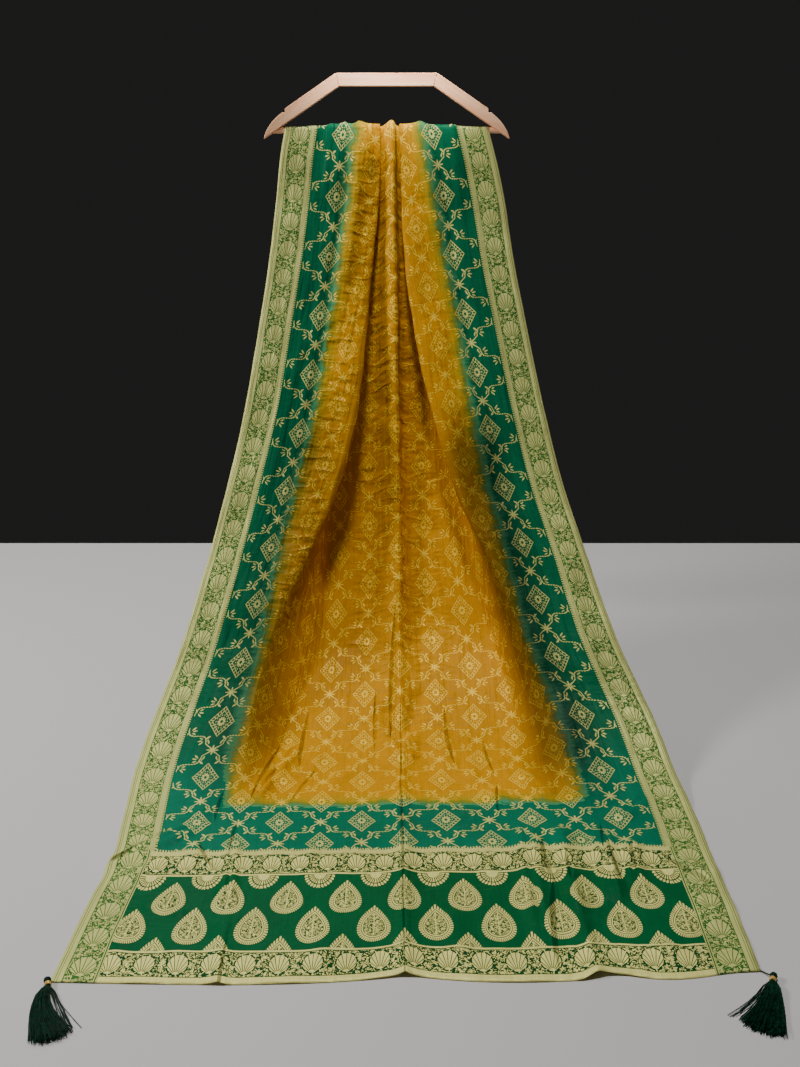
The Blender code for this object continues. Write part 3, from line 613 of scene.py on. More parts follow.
# %% Arithmetic that makes Math nodes
class Sum:
    """A number that varies over the cloth, made by Math nodes."""

    tree = None

    def __init__(self, socket):
        self.socket = socket

    @classmethod
    def node(cls, operation, *values):
        made = cls.tree.nodes.new("ShaderNodeMath")
        made.operation = operation
        for slot, value in zip(made.inputs, values):
            if isinstance(value, Sum):
                cls.tree.links.new(value.socket, slot)
            else:
                slot.default_value = value
        return cls(made.outputs[0])

    def __add__(self, other):
        return Sum.node("ADD", self, other)

    def __radd__(self, other):
        return Sum.node("ADD", other, self)

    def __sub__(self, other):
        return Sum.node("SUBTRACT", self, other)

    def __rsub__(self, other):
        return Sum.node("SUBTRACT", other, self)

    def __mul__(self, other):
        return Sum.node("MULTIPLY", self, other)

    def __rmul__(self, other):
        return Sum.node("MULTIPLY", other, self)

    def __truediv__(self, other):
        return Sum.node("DIVIDE", self, other)


def maths(operation):
    """A function that adds one Math node of this kind and gives its result as a Sum."""
    return lambda *values: Sum.node(operation, *values)


size_of, root, power, part_of = map(maths, ("ABSOLUTE", "SQRT", "POWER", "FRACT"))
sine, cosine, angle_of, zigzag = map(maths, ("SINE", "COSINE", "ARCTAN2", "PINGPONG"))
less, more, lesser, either = map(maths, ("LESS_THAN", "GREATER_THAN", "MINIMUM", "MAXIMUM"))
both = maths("MULTIPLY")


def wrapped(a, pitch):
    """Distance from the nearest multiple of pitch, from -pitch / 2 to pitch / 2."""
    return Sum.node("WRAP", a, pitch / 2, -pitch / 2)


def between(a, low, high):
    middle, reach = (low + high) / 2, (high - low) / 2
    return less(size_of(a - middle), reach)


def within_one(a):
    """The same number, kept from 0 to 1."""
    return lesser(either(a, 0.0), 1.0)


def window(a, low, high, soft):
    """1 between low and high, falling to 0 over a soft edge outside them."""
    return within_one(lesser(a - low, high - a) * (1 / soft) + 1.0)


def choose(switch, off, on):
    """The value off where the switch is 0, and on where it is 1."""
    return off + (on - off) * switch


def distance(a, b):
    return root(a * a + b * b)


print("arithmetic ready")

# %% [markdown]
# ### The net of diamonds, star flowers and vines
#
# Over the whole field runs a half-drop lattice: diamonds stand in columns 126 mm apart, each column
# half a repeat above the next, with a star flower between every two diamonds of a column and vines
# from star to star. The lattice is folded like paper, so that one quarter of one repeat is charted.

# %% Chart of the lattice
COLUMN_PITCH = 0.126
ROW_PITCH = 0.1134
FIRST_ROW = 0.397
DIAMOND_HALF_WIDTH = 0.0216
DIAMOND_HALF_HEIGHT = 0.0300
Leaf = namedtuple("Leaf", "along beside tilt length width")
VINE_LEAVES = [
    # Three fingers on one side of the stem
    Leaf(0.0167, -0.0048, 90, 0.0100, 0.0028),
    Leaf(0.0118, -0.0032, 56, 0.0086, 0.0028),
    Leaf(0.0088, 0.0012, 18, 0.0074, 0.0024),
    # Two petals on the other side
    Leaf(0.0238, 0.0052, -30, 0.0084, 0.0028),
    Leaf(0.0158, 0.0108, 82, 0.0084, 0.0034),
]


def leaf_mask(along, beside, leaf):
    """A leaf pointed at both ends, turned by its tilt from the line of the vine."""
    c, s = math.cos(math.radians(leaf.tilt)), math.sin(math.radians(leaf.tilt))
    x, y = along - leaf.along, beside - leaf.beside
    p = (x * c + y * s) * (2 / leaf.length)
    q = (y * c - x * s) * (2 / leaf.width)
    return less(p * p + size_of(q), 1.0)


def flower_mask(radius_here, turn, radius, petals, waist):
    """A round flower whose rim goes in between its petals."""
    rim = radius * waist + radius * (1 - waist) * size_of(cosine(turn * (petals / 2)))
    return less(radius_here, rim)


def lattice_mask(across, up, diamonds_kept):
    """One where the lattice shows metal thread, and nothing between."""
    half_column, half_row = COLUMN_PITCH / 2, ROW_PITCH / 2
    a = zigzag(across - CUT_WIDTH / 2, half_column)
    b = zigzag(up - FIRST_ROW, half_row)
    far_half = more(a * (1 / half_column) + b * (1 / half_row), 1.0)
    a = choose(far_half, a, half_column - a)
    b = choose(far_half, b, half_row - b)
    # The diamond: a rim with a ring of square holes, and a small flower in its middle
    along_x = a * (1 / DIAMOND_HALF_WIDTH)
    along_y = b * (1 / DIAMOND_HALF_HEIGHT)
    rim = along_x + along_y
    side = part_of((along_x - along_y) / rim * 2.5)
    hole = both(between(rim, 0.725, 0.925), between(side, 0.13, 0.87))
    band = between(rim, 0.66, 1.0) - hole
    low = b * (DIAMOND_HALF_WIDTH / DIAMOND_HALF_HEIGHT)
    here = distance(a, low)
    turn = angle_of(low, a)
    bloom = flower_mask(here, turn, 0.0070, 10, 0.66) - less(here, 0.0023)
    specks = both(between(here, 0.0084, 0.0100), more(cosine(turn * 14), 0.1))
    mask = either(band, either(bloom, both(specks, less(rim, 0.62))))
    mask = both(mask, diamonds_kept)
    # The star flower: the nearer of the quarter's two corners
    x1, y1 = half_column - a, b
    x2, y2 = a, half_row - b
    d1, d2 = distance(x1, y1), distance(x2, y2)
    nearer = less(d2, d1)
    star_here = lesser(d1, d2)
    star_turn = angle_of(choose(nearer, y1, y2), choose(nearer, x1, x2))
    star = less(star_here, 0.0036 + power(size_of(cosine(star_turn * 4)), 2.2) * 0.0066)
    mask = either(mask, star)
    # The vine, drawn along the line between the two stars
    length = math.hypot(half_column, half_row)
    east, north = -half_column / length, half_row / length
    out_a, out_b = a - half_column / 2, b - half_row / 2
    along = out_a * east + out_b * north
    beside = out_a * -north + out_b * east
    # The vine is the same when it is turned half round, so one half of it is charted
    half_turn = Sum.node("SIGN", along)
    along = along * half_turn
    beside = beside * half_turn
    stem_place = either(0.0066 * sine(along * (math.pi / 0.0230)), 0.0)
    beads = less(along, 0.0125) * cosine(along * (2 * math.pi / 0.0036))
    stem = less(size_of(beside - stem_place), 0.00090 + beads * 0.00065)
    stem = both(stem, less(along, 0.0335))
    heart = between(distance(along - 0.0180, beside - 0.0056), 0.0017, 0.0027)
    mask = either(mask, either(stem, heart))
    for leaf in VINE_LEAVES:
        mask = either(mask, leaf_mask(along, beside, leaf))
    return mask


print(len(VINE_LEAVES), "leaves on each half of a vine")

# %% [markdown]
# ### The pallu: drops, rosettes and scallops
#
# The pallu is the decorated end. From the hem up it has a plain gold edge, a row of rosettes, three
# staggered rows of drop-shaped butis (small motifs that stand alone), and a band of rosettes with
# scallops hanging from it. Each rosette has veins that fan out from its foot like a shell.

# %% Chart of the pallu and the side borders
BUTI_PITCH = 0.080
BUTI_ROW = 0.0565
BUTI_TOP_ROW = 0.1585
BUTI_HALF_WIDTH = 0.0220
BUTI_HALF_HEIGHT = 0.0358
BORDER_WIDTH = 0.063
END_BORDER = 0.0555
BAND_FOOT = 0.208
BAND_HEAD = 0.266
SIDE_PITCH = 0.054
END_PITCH = 0.0418
BAND_PITCH = 0.0412


def inside_drop(across, up, scale):
    """A pointed drop, widest a third of the way up, drawn smaller round its own heart."""
    up = (up + BUTI_HALF_HEIGHT * 0.16) * (1 / scale) - BUTI_HALF_HEIGHT * 0.16
    t = either((up + BUTI_HALF_HEIGHT) * (0.5 / BUTI_HALF_HEIGHT), 0.0)
    reach = root(t) * (1.0 - t) * (BUTI_HALF_WIDTH / 0.385 * scale)
    return less(size_of(across), reach)


def drop_mask(across, up, filler):
    """A drop with a ticked rim, a thin line inside it, and a little tree in its heart."""
    rays = cosine(angle_of(across, up * 0.7 + BUTI_HALF_HEIGHT * 0.20) * 44)
    inside = inside_drop(across * (1.0 - rays * 0.02), up, 1.0)
    ticks = either(more(rays, -0.45), inside_drop(across, up, 0.83))
    rim = both(1.0 - inside_drop(across, up, 0.78), ticks)
    line = inside_drop(across, up, 0.74) - inside_drop(across, up, 0.66)
    stem = less(size_of(across), 0.0007)
    boughs = less(size_of(wrapped(up - size_of(across) * 1.1, 0.0092)), 0.00035)
    heart = both(inside_drop(across, up, 0.63), either(stem, filler - boughs))
    mask = either(either(rim, either(line, heart)), 0.0)
    return both(inside, mask), inside


def buti_field_mask(across, up, filler):
    """The staggered rows of butis: their metal thread, and the whole area inside them."""
    x1 = wrapped(across - CUT_WIDTH / 2, BUTI_PITCH)
    y1 = wrapped(up - BUTI_TOP_ROW, 2 * BUTI_ROW)
    second = more(size_of(x1) * (2 / BUTI_PITCH) + size_of(y1) * (1 / BUTI_ROW), 1.0)
    x2 = wrapped(across - CUT_WIDTH / 2 - BUTI_PITCH / 2, BUTI_PITCH)
    y2 = wrapped(up - BUTI_TOP_ROW - BUTI_ROW, 2 * BUTI_ROW)
    mask, inside = drop_mask(choose(second, x1, x2), choose(second, y1, y2), filler)
    # The next row up is the scallops of the band instead
    kept = 1.0 - both(second, more(up, BUTI_TOP_ROW))
    return both(mask, kept), both(inside, kept)


def shell_rosette(across, up, half_width, half_height, filler, ring_width):
    """A round rosette with a broken dark ring and fanned veins, in a ground of leaf scrolls."""
    x, y = across * (1 / half_width), up * (1 / half_height)
    here = distance(x, y)
    turn, from_foot = angle_of(x, y + 0.96), distance(x, y + 0.96)
    veins = both(less(size_of(wrapped(turn, 0.26)) * from_foot, 0.030), more(from_foot, 0.34))
    ring = both(between(here, 1.0 - ring_width, 1.0), more(cosine(angle_of(x, y) * 9 + 0.7), -0.88))
    face = both(less(here, 1.0), 1.0 - either(veins, ring))
    return either(either(face, both(more(here, 1.0), filler)), 0.0)


def scallop(across, up, width, depth):
    """Half a round flower hanging from a line at up = 0, with fanned veins."""
    x, y = across * (1 / width), up * (1 / depth)
    here = distance(x, y)
    turn = angle_of(x, y)
    inside = both(less(here + cosine(turn * 30) * 0.03, 1.0), less(up, 0.0))
    veins = both(less(size_of(wrapped(turn, 0.23)) * here, 0.028), more(here, 0.38))
    arcs = between(here, 0.72, 0.79)
    return both(inside, 1.0 - either(veins, arcs)), inside


print("charts ready")

# %% [markdown]
# ### Dyes and colour helpers
#
# The ground is dyed green at the edges and mustard in the middle, and where the dyes meet there is
# a pale halo. The metal thread is lighter than its ground. The helpers mix two colours, read a row
# of colours as a ramp, and make streaks and clouds, because dyed silk is never quite even.

# %% Dyes and colour helpers
GREEN = dye(0, 96, 62)
FOOT_GREEN = dye(0, 108, 78)
PALLU_GREEN = dye(0, 88, 48)
HALO = dye(66, 146, 98)
OLIVE = dye(112, 128, 48)
PALE_GOLD = dye(184, 146, 24)
MUSTARD = dye(202, 140, 0)
ZARI_ON_GREEN = dye(210, 206, 120)
ZARI_ON_MUSTARD = dye(242, 198, 60)
BORDER_THREAD = dye(202, 202, 122)
PALLU_THREAD = dye(230, 224, 134)
BORDER_GROUND = dye(8, 70, 34)
SIDE_GROUND = dye(52, 104, 44)
print("green in linear values:", [round(c, 3) for c in GREEN])


def mixed(tree, share, first, second):
    """The first colour where share is 0, and the second where it is 1."""
    mix = tree.nodes.new("ShaderNodeMix")
    mix.data_type = "RGBA"
    tree.links.new(share.socket, mix.inputs["Factor"])
    for slot, value in zip(("A", "B"), (first, second)):
        socket = [s for s in mix.inputs if s.name == slot and s.type == "RGBA"][0]
        if isinstance(value, tuple):
            socket.default_value = (*value, 1)
        else:
            tree.links.new(value, socket)
    return [s for s in mix.outputs if s.type == "RGBA"][0]


def colour_ramp(tree, share, stops):
    """A row of colours, each at its own place from 0 to 1, read where share says."""
    ramp = tree.nodes.new("ShaderNodeValToRGB")
    made = ramp.color_ramp.elements
    for element, (position, colour) in zip(made, (stops[0], stops[-1])):
        element.position, element.color = position, (*colour, 1)
    for position, colour in stops[1:-1]:
        made.new(position).color = (*colour, 1)
    tree.links.new(share.socket, ramp.inputs[0])
    return ramp.outputs[0]


def stretched_noise(tree, plan_socket, scale, detail, seed, turn=0.0):
    """Uneven noise from 0 to 1 over the flat cloth, finer across or along the threads."""
    mapping = tree.nodes.new("ShaderNodeMapping")
    mapping.inputs["Scale"].default_value = scale
    mapping.inputs["Rotation"].default_value = (0, 0, turn)
    mapping.inputs["Location"].default_value = (seed, seed * 0.7, 0)
    noise = tree.nodes.new("ShaderNodeTexNoise")
    noise.noise_dimensions = "2D"
    noise.inputs["Scale"].default_value = 1.0
    noise.inputs["Detail"].default_value = detail
    tree.links.new(plan_socket, mapping.inputs["Vector"])
    tree.links.new(mapping.outputs[0], noise.inputs["Vector"])
    return Sum(noise.outputs["Fac"])


def raised(tree, shader, height, strength, distance):
    """Let a height stand up from the surface as the light sees it."""
    bump = tree.nodes.new("ShaderNodeBump")
    bump.inputs["Strength"].default_value = strength
    bump.inputs["Distance"].default_value = distance
    tree.links.new(height.socket, bump.inputs["Height"])
    tree.links.new(bump.outputs[0], shader.inputs["Normal"])


# %% [markdown]
# ### Narrow dents
#
# The wrinkles themselves are in the sheet. Some have a line in them that is narrower than the
# sheet's net can hold, and the material's relief sinks it. Each row of this table is one such line,
# from one place in the flat cloth to another.

# %% The table of dents
Dent = namedtuple("Dent", "across0 up0 across1 up1 half_width depth")
DENTS = [
    # Wrinkles of the mustard part that lies on the floor
    Dent(0.192, 0.400, 0.228, 0.555, 0.0065, 0.0076),
    Dent(0.264, 0.480, 0.270, 0.640, 0.0075, 0.0070),
    Dent(0.386, 0.540, 0.387, 0.690, 0.0045, 0.0058),
    Dent(0.413, 0.560, 0.424, 0.860, 0.0080, 0.0090),
    Dent(0.506, 0.650, 0.517, 0.490, 0.0075, 0.0074),
    Dent(0.566, 0.570, 0.578, 0.470, 0.0055, 0.0060),
    Dent(0.580, 0.450, 0.571, 0.355, 0.0045, 0.0058),
    Dent(0.256, 0.400, 0.292, 0.490, 0.0060, 0.0046),
    Dent(0.142, 0.345, 0.150, 0.425, 0.0060, 0.0066),
    # The storage crease down the middle
    Dent(0.430, -0.080, 0.431, 0.680, 0.0040, 0.0066),
    Dent(0.428, 0.470, 0.433, 0.220, 0.0075, 0.0080),
    # The pinched left border and the creases of the band and the pallu
    Dent(-0.010, 0.223, 0.080, 0.331, 0.0085, 0.0120),
    Dent(0.122, 0.290, 0.156, 0.225, 0.0060, 0.0062),
    Dent(0.171, 0.250, 0.177, 0.350, 0.0050, 0.0056),
    Dent(0.202, 0.080, 0.209, -0.040, 0.0050, 0.0062),
    Dent(0.628, 0.290, 0.633, 0.175, 0.0090, 0.0120),
    Dent(0.658, 0.245, 0.654, 0.180, 0.0060, 0.0070),
    Dent(0.716, 0.330, 0.724, 0.180, 0.0090, 0.0120),
    Dent(0.755, 0.290, 0.747, 0.200, 0.0055, 0.0066),
    Dent(0.633, 0.195, 0.616, 0.010, 0.0085, 0.0090),
    Dent(0.790, 0.255, 0.850, 0.170, 0.0110, 0.0080),
]


def dent_mask(across, up, d):
    """One where the dent is deepest, and nothing at its two sides and ends."""
    run_x, run_y = d.across1 - d.across0, d.up1 - d.up0
    length = math.hypot(run_x, run_y)
    x, y = across - (d.across0 + d.across1) / 2, up - (d.up0 + d.up1) / 2
    along = (x * run_x + y * run_y) * (2 / length**2)
    beside = size_of(x * run_y - y * run_x) * (1 / (length * d.half_width))
    return either(1.0 - beside - along * along, 0.0)


print(len(DENTS), "dents")

# %% [markdown]
# ### Leaf scrolls
#
# Between the rosettes and inside the drops lies small leaf work. Its gaps are the edges of an uneven
# set of cells, bent a little and thicker in some places, so that no two leaves are alike.

# %% Leaf scrolls
LEAF_BEND = 0.010


def leaf_scrolls(tree, plan_socket, fineness, darkness, seed):
    """Small bent leaves with dark gaps of an uneven width, for the scrolls round the rosettes."""
    bend = tree.nodes.new("ShaderNodeTexNoise")
    bend.noise_dimensions = "2D"
    bend.inputs["Scale"].default_value = 95
    bend.inputs["Detail"].default_value = 1
    shift = tree.nodes.new("ShaderNodeVectorMath")
    shift.operation = "MULTIPLY_ADD"
    shift.inputs[1].default_value = (LEAF_BEND, LEAF_BEND, 0)
    cells = tree.nodes.new("ShaderNodeTexVoronoi")
    cells.voronoi_dimensions = "2D"
    cells.feature = "DISTANCE_TO_EDGE"
    cells.inputs["Scale"].default_value = fineness
    tree.links.new(plan_socket, bend.inputs["Vector"])
    tree.links.new(bend.outputs["Color"], shift.inputs[0])
    tree.links.new(plan_socket, shift.inputs[2])
    tree.links.new(shift.outputs[0], cells.inputs["Vector"])
    gap = stretched_noise(tree, plan_socket, (fineness * 0.65, fineness * 0.65, 1), 1.0, seed)
    return more(Sum(cells.outputs["Distance"]), (gap - 0.5) * 0.70 + darkness)


print("leaves bend by up to", LEAF_BEND / 2 * 1000, "mm")

# %% [markdown]
# ### Join the charts by zones
#
# The cloth's zones are the side borders, the end border, the drops, the band and the lattice. Each
# place in the cloth takes the chart of its own zone, and the side borders lie over all the others.
# Each row of rosettes has a start of its own, as it has in the photograph.

# %% Join the charts by zones
BAND_START, BAND_MIDDLE = 0.196, 0.2345
END_START, END_MIDDLE = 0.315, 0.0314
SIDE_START, SIDE_MIDDLE = 0.027, 0.0322
PALLU_NARROWING = 0.0075
VINES_FROM_EDGE = 0.0660
DIAMONDS_FROM_EDGE = 0.0740
Zones = namedtuple("Zones", "zari bordered pallu side")


def woven_zones(tree, plan_socket, across, up, edge):
    """Where metal thread shows, where a border's ground lies, the pallu, and the side borders."""
    filler = leaf_scrolls(tree, plan_socket, 270, 0.17, 3.0)
    fine_filler = leaf_scrolls(tree, plan_socket, 400, 0.13, 11.0)
    pallu = less(up, BAND_HEAD)
    border_width = BORDER_WIDTH - PALLU_NARROWING * pallu
    in_side = less(edge, border_width)
    in_end = less(up, END_BORDER)
    in_band = between(up, BAND_FOOT, BAND_HEAD)

    # The field
    kept_vines = both(more(up, BAND_HEAD), more(edge, VINES_FROM_EDGE))
    field = both(lattice_mask(across, up, more(edge, DIAMONDS_FROM_EDGE)), kept_vines)
    drops, drop_ground = buti_field_mask(across, up, fine_filler)
    drops = both(drops, less(up, BAND_FOOT))
    hanging, hanging_ground = scallop(
        wrapped(across - CUT_WIDTH / 2 - BUTI_PITCH / 2, BUTI_PITCH), up - BAND_FOOT, 0.0215, 0.030
    )
    field = either(field, either(drops, hanging))

    # The band of rosettes over the butis
    in_band_step = wrapped(across - BAND_START, BAND_PITCH)
    band_ring = shell_rosette(in_band_step, up - BAND_MIDDLE, 0.0150, 0.0200, filler, 0.14)
    foot_line = between(up, BAND_FOOT, BAND_FOOT + 0.0035)
    head_strip = both(between(up, BAND_HEAD - 0.0095, BAND_HEAD), more(sine((across + up) * 2100), -0.9))
    band = either(both(band_ring, between(up, 0.2130, 0.2560)), either(foot_line, head_strip))
    teeth = both(between(up, BAND_HEAD, BAND_HEAD + 0.0042), more(sine(across * 1500), 0.0))

    # The end border
    in_end_step = wrapped(across - END_START, END_PITCH)
    end_ring = shell_rosette(in_end_step, up - END_MIDDLE, 0.0144, 0.0184, filler, 0.14)
    end_lines = either(less(up, 0.0105), between(up, 0.0524, END_BORDER))
    end = either(both(end_ring, between(up, 0.0116, 0.0512)), end_lines)

    # The side borders
    in_side_step = wrapped(up - SIDE_START, SIDE_PITCH)
    side_ring = shell_rosette(edge - SIDE_MIDDLE, in_side_step, 0.0170, 0.0190, filler, 0.10)
    pinstripes = either(between(edge, 0.0036, 0.0044), between(edge, 0.0066, 0.0072))
    stripes = both(less(edge, 0.0128), 1.0 - pinstripes)
    side = either(both(side_ring, between(edge, 0.0138, 0.0506)), stripes)
    strip = both(between(edge, 0.0512, border_width - 0.0030), more(sine((edge + up) * 2100), -0.9))
    pallu_line = either(between(edge, 0.0508, 0.0522), between(edge, 0.0538, 0.0552))
    tooth = both(between(edge, border_width - 0.0030, border_width), more(sine(up * 1450), -0.1))
    side = either(side, choose(pallu, either(strip, tooth), pallu_line))

    zari = choose(in_band, field, band)
    zari = either(zari, teeth)
    zari = choose(in_end, zari, end)
    zari = choose(in_side, zari, side)
    bordered = either(in_side, either(in_end, in_band))
    bordered = either(bordered, both(either(drop_ground, hanging_ground), less(up, BAND_FOOT)))
    return Zones(within_one(zari), bordered, pallu, in_side)


print("zones:", ", ".join(Zones._fields))

# %% [markdown]
# ### Dye the ground and the thread
#
# The change from green to mustard starts a little outside the edge of the mustard and wanders, as dye
# does. On the hanging part it lies nearer to the selvedges. At the foot of the sweep, near the edges
# of the mustard, the colour is darkened with painted shade where the valley walls lie in shadow.
# Streaks along the threads and broad clouds make the whole uneven.

# %% Dye the ground and the thread
MUSTARD_FROM_EDGE = 0.152
MUSTARD_FROM_HEM = 0.386
CHANGE_OF_DYE = 0.064
CHANGE_LEAD = 0.031
HANGING_DRIFT = 0.020
# Painted shade: how much the colour is darkened on the valley walls at the foot of the sweep, right and
# left
RIGHT_PAINTED_SHADE = 0.70
LEFT_PAINTED_SHADE = 0.44


def dyed_cloth(tree, plan_socket, across, up, edge, zones):
    """The colour of every place in the cloth, with painted shade on the valley walls, and the clouds,
    which vary its shine too.
    """
    bleed = stretched_noise(tree, plan_socket, (38, 30, 1), 3.0, 4.0)
    fibres = stretched_noise(tree, plan_socket, (18, 260, 1), 2.0, 7.0)
    left = less(across, CUT_WIDTH / 2)
    drift = window(up, 1.35 - left * 0.50, 9.0, 0.45) * HANGING_DRIFT
    from_side = edge - MUSTARD_FROM_EDGE + drift
    inner = Sum.node("SMOOTH_MIN", from_side, up - MUSTARD_FROM_HEM, 0.03)
    inner = inner + (bleed - 0.5) * 0.018 + (fibres - 0.5) * 0.016
    dyes = ((0.0, GREEN), (0.26, GREEN), (0.44, HALO), (0.58, OLIVE), (0.74, PALE_GOLD), (1.0, MUSTARD))
    ground = colour_ramp(tree, (inner + CHANGE_LEAD) * (1 / CHANGE_OF_DYE), dyes)
    at_foot = both(window(up, -1.0, 0.44, 0.10), less(inner, -0.004))
    ground = mixed(tree, at_foot, ground, FOOT_GREEN)
    ground = mixed(tree, zones.pallu, ground, PALLU_GREEN)
    ground = mixed(tree, zones.bordered, ground, BORDER_GROUND)
    ground = mixed(tree, zones.side, ground, SIDE_GROUND)
    on_green = less(inner, 0.0)
    thread = mixed(tree, on_green, ZARI_ON_MUSTARD, ZARI_ON_GREEN)
    thread = mixed(tree, zones.bordered, thread, PALLU_THREAD)
    thread = mixed(tree, zones.side, thread, BORDER_THREAD)
    colour = mixed(tree, zones.zari, ground, thread)
    streaks = stretched_noise(tree, plan_socket, (420, 26, 1), 2.0, 9.0)
    clouds = stretched_noise(tree, plan_socket, (9, 7, 1), 3.0, 2.0)
    # Painted shade: near the edges of the mustard at the foot of the sweep, where the valley walls lie in
    # shadow, the colour is darkened, more on the right. Streaks and clouds are the dye's own unevenness.
    valley_wall_shade_mask = window(up, 0.50, 1.10, 0.14) * window(from_side, -0.010, 0.042, 0.056)
    painted_shade = valley_wall_shade_mask * (RIGHT_PAINTED_SHADE - left * (RIGHT_PAINTED_SHADE - LEFT_PAINTED_SHADE))
    shade = (0.72 + streaks * 0.30 + clouds * 0.26) * (1.0 - painted_shade)
    toned = tree.nodes.new("ShaderNodeVectorMath")
    toned.operation = "SCALE"
    tree.links.new(colour, toned.inputs[0])
    tree.links.new(shade.socket, toned.inputs["Scale"])
    return toned.outputs[0], clouds


print("the dyes change over", round(CHANGE_OF_DYE * 1000), "mm")

# %% [markdown]
# ### Relief, and the finished silk
#
# The metal thread stands up from the silk, and thin silk has fine crumples everywhere. They are
# stronger on the rolls, which were pressed and pulled most. The surface is a soft satin, so it is
# rather rough, and the zari is only a little metallic.

# %% Relief, and the finished silk
ZARI_HEIGHT = 0.00016
THREAD_HEIGHT = 0.00002
CRUMPLE_HEIGHT = 0.0022
FOLD_HEIGHT = 0.0012
PULL_DEPTH = 0.0120
BUMP_STRENGTH = 0.85
SATIN_ROUGHNESS = 0.46
ZARI_METALLIC = 0.14


def silk_relief(tree, plan_socket, across, up, zari):
    """The height of thread, crumples and dents over the sheet."""
    crumples = stretched_noise(tree, plan_socket, (42, 95, 1), 4.0, 6.0)
    soft_folds = stretched_noise(tree, plan_socket, (75, 9, 1), 2.0, 1.0)
    pulls = size_of(stretched_noise(tree, plan_socket, (12, 32, 1), 2.0, 12.0, 0.2) - 0.5)
    rolls = window(across, 0.138, 0.190, 0.016) * window(up, 0.80, 1.66, 0.12)
    rolls = rolls + window(across, 0.340, 0.520, 0.02) * window(up, 0.55, 1.66, 0.15) * 0.7
    rolls = rolls + window(across, 0.672, 0.722, 0.02) * window(up, 0.75, 1.66, 0.15) * 0.30
    rolls = rolls + window(up, -1.0, 0.60, 0.10) * 0.35
    hanging_share = window(up, 0.75, 9.0, 0.3)
    threads = sine(across * 5200) * sine(up * 4300)
    height = zari * ZARI_HEIGHT + crumples * (CRUMPLE_HEIGHT - hanging_share * 0.0014)
    height = height + threads * THREAD_HEIGHT + soft_folds * (FOLD_HEIGHT + hanging_share * 0.0030)
    height = height - pulls * rolls * PULL_DEPTH
    for dent in DENTS:
        height = height - dent_mask(across, up, dent) * dent.depth
    return height


def woven_silk():
    """The silk's whole material, read from the sheet's own flat plan."""
    material = new_material("woven_silk", 0.42)
    tree = material.node_tree
    Sum.tree = tree
    where = tree.nodes.new("ShaderNodeUVMap")
    where.uv_map = "woven_plan"
    plan_socket = where.outputs[0]
    parts = tree.nodes.new("ShaderNodeSeparateXYZ")
    tree.links.new(plan_socket, parts.inputs[0])
    across, up = Sum(parts.outputs[0]), Sum(parts.outputs[1])
    edge = CUT_WIDTH / 2 - size_of(across - CUT_WIDTH / 2)
    zones = woven_zones(tree, plan_socket, across, up, edge)
    colour, clouds = dyed_cloth(tree, plan_socket, across, up, edge, zones)
    shader = shader_of(material)
    tree.links.new(colour, shader.inputs["Base Color"])
    tree.links.new((zones.zari * ZARI_METALLIC).socket, shader.inputs["Metallic"])
    roughness = SATIN_ROUGHNESS + (clouds - 0.5) * 0.12
    tree.links.new(roughness.socket, shader.inputs["Roughness"])
    shader.inputs["Specular IOR Level"].default_value = 0.06
    height = silk_relief(tree, plan_socket, across, up, zones.zari)
    raised(tree, shader, height, BUMP_STRENGTH, 1.0)
    print("woven silk:", len(tree.nodes), "nodes")
    return material


cloth.data.materials.clear()
cloth.data.materials.append(woven_silk())

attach(cloth, "root")
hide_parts("dupatta")
print("sheet declared:", cloth.name)

# %% [markdown]
# ## The hanger's wood
#
# The hanger is pale, smooth wood, perhaps beech or pine: fine grain along each board and a few darker
# streaks. The grain is a noise stretched along the board, so each arm has the same recipe, turned to
# its own slope.


# %% Wood along a board
def board_wood(name, slope):
    """Pale wood whose grain runs along a board of this slope."""
    material = new_material(name, 0.5)
    tree = material.node_tree
    Sum.tree = tree
    place = tree.nodes.new("ShaderNodeTexCoord")
    turn = tree.nodes.new("ShaderNodeMapping")
    turn.vector_type = "TEXTURE"
    turn.inputs["Rotation"].default_value = (0, slope, 0)
    tree.links.new(place.outputs["Object"], turn.inputs["Vector"])

    def grain(scale, detail, seed):
        stretch = tree.nodes.new("ShaderNodeMapping")
        stretch.inputs["Scale"].default_value = scale
        stretch.inputs["Location"].default_value = (seed, seed, seed)
        noise = tree.nodes.new("ShaderNodeTexNoise")
        noise.inputs["Scale"].default_value = 1.0
        noise.inputs["Detail"].default_value = detail
        tree.links.new(turn.outputs[0], stretch.inputs["Vector"])
        tree.links.new(stretch.outputs[0], noise.inputs["Vector"])
        return Sum(noise.outputs["Fac"])

    fine = grain((14, 420, 900), 4.0, 1.0)
    broad = grain((5, 60, 110), 3.0, 5.0)
    colours = ((0.25, dye(232, 138, 90)), (0.5, dye(255, 192, 146)), (0.75, dye(255, 214, 172)))
    shader = shader_of(material)
    tree.links.new(colour_ramp(tree, fine * 0.35 + broad * 0.65, colours), shader.inputs["Base Color"])
    tree.links.new((0.46 + fine * 0.16).socket, shader.inputs["Roughness"])
    raised(tree, shader, fine, 0.5, 0.0006)
    return material


ARM_SLOPE = math.radians(32.8)
for node, slope in (
    ("hanger_top_bar", 0.0),
    ("hanger_rod", 0.0),
    ("hanger_arm_right", ARM_SLOPE),
    ("hanger_arm_left", -ARM_SLOPE),
):
    board = solids[node]
    wood = board_wood("wood_" + node.replace("hanger_", ""), slope)
    board.data.materials.clear()
    board.data.materials.append(wood)
print("wood on 4 pieces")

# %% [markdown]
# ## The tassels
#
# Each tassel is a hank of very dark green yarn: a wound knob, a gilt bead round its neck, and a
# skirt of several hundred threads that fan out over the floor. Each thread is one curve with a
# round section, turned into a mesh. The threads pile up at the root and settle flat. The skirt bows
# to one side, as limp yarn does, and a few threads lie loose on the other.

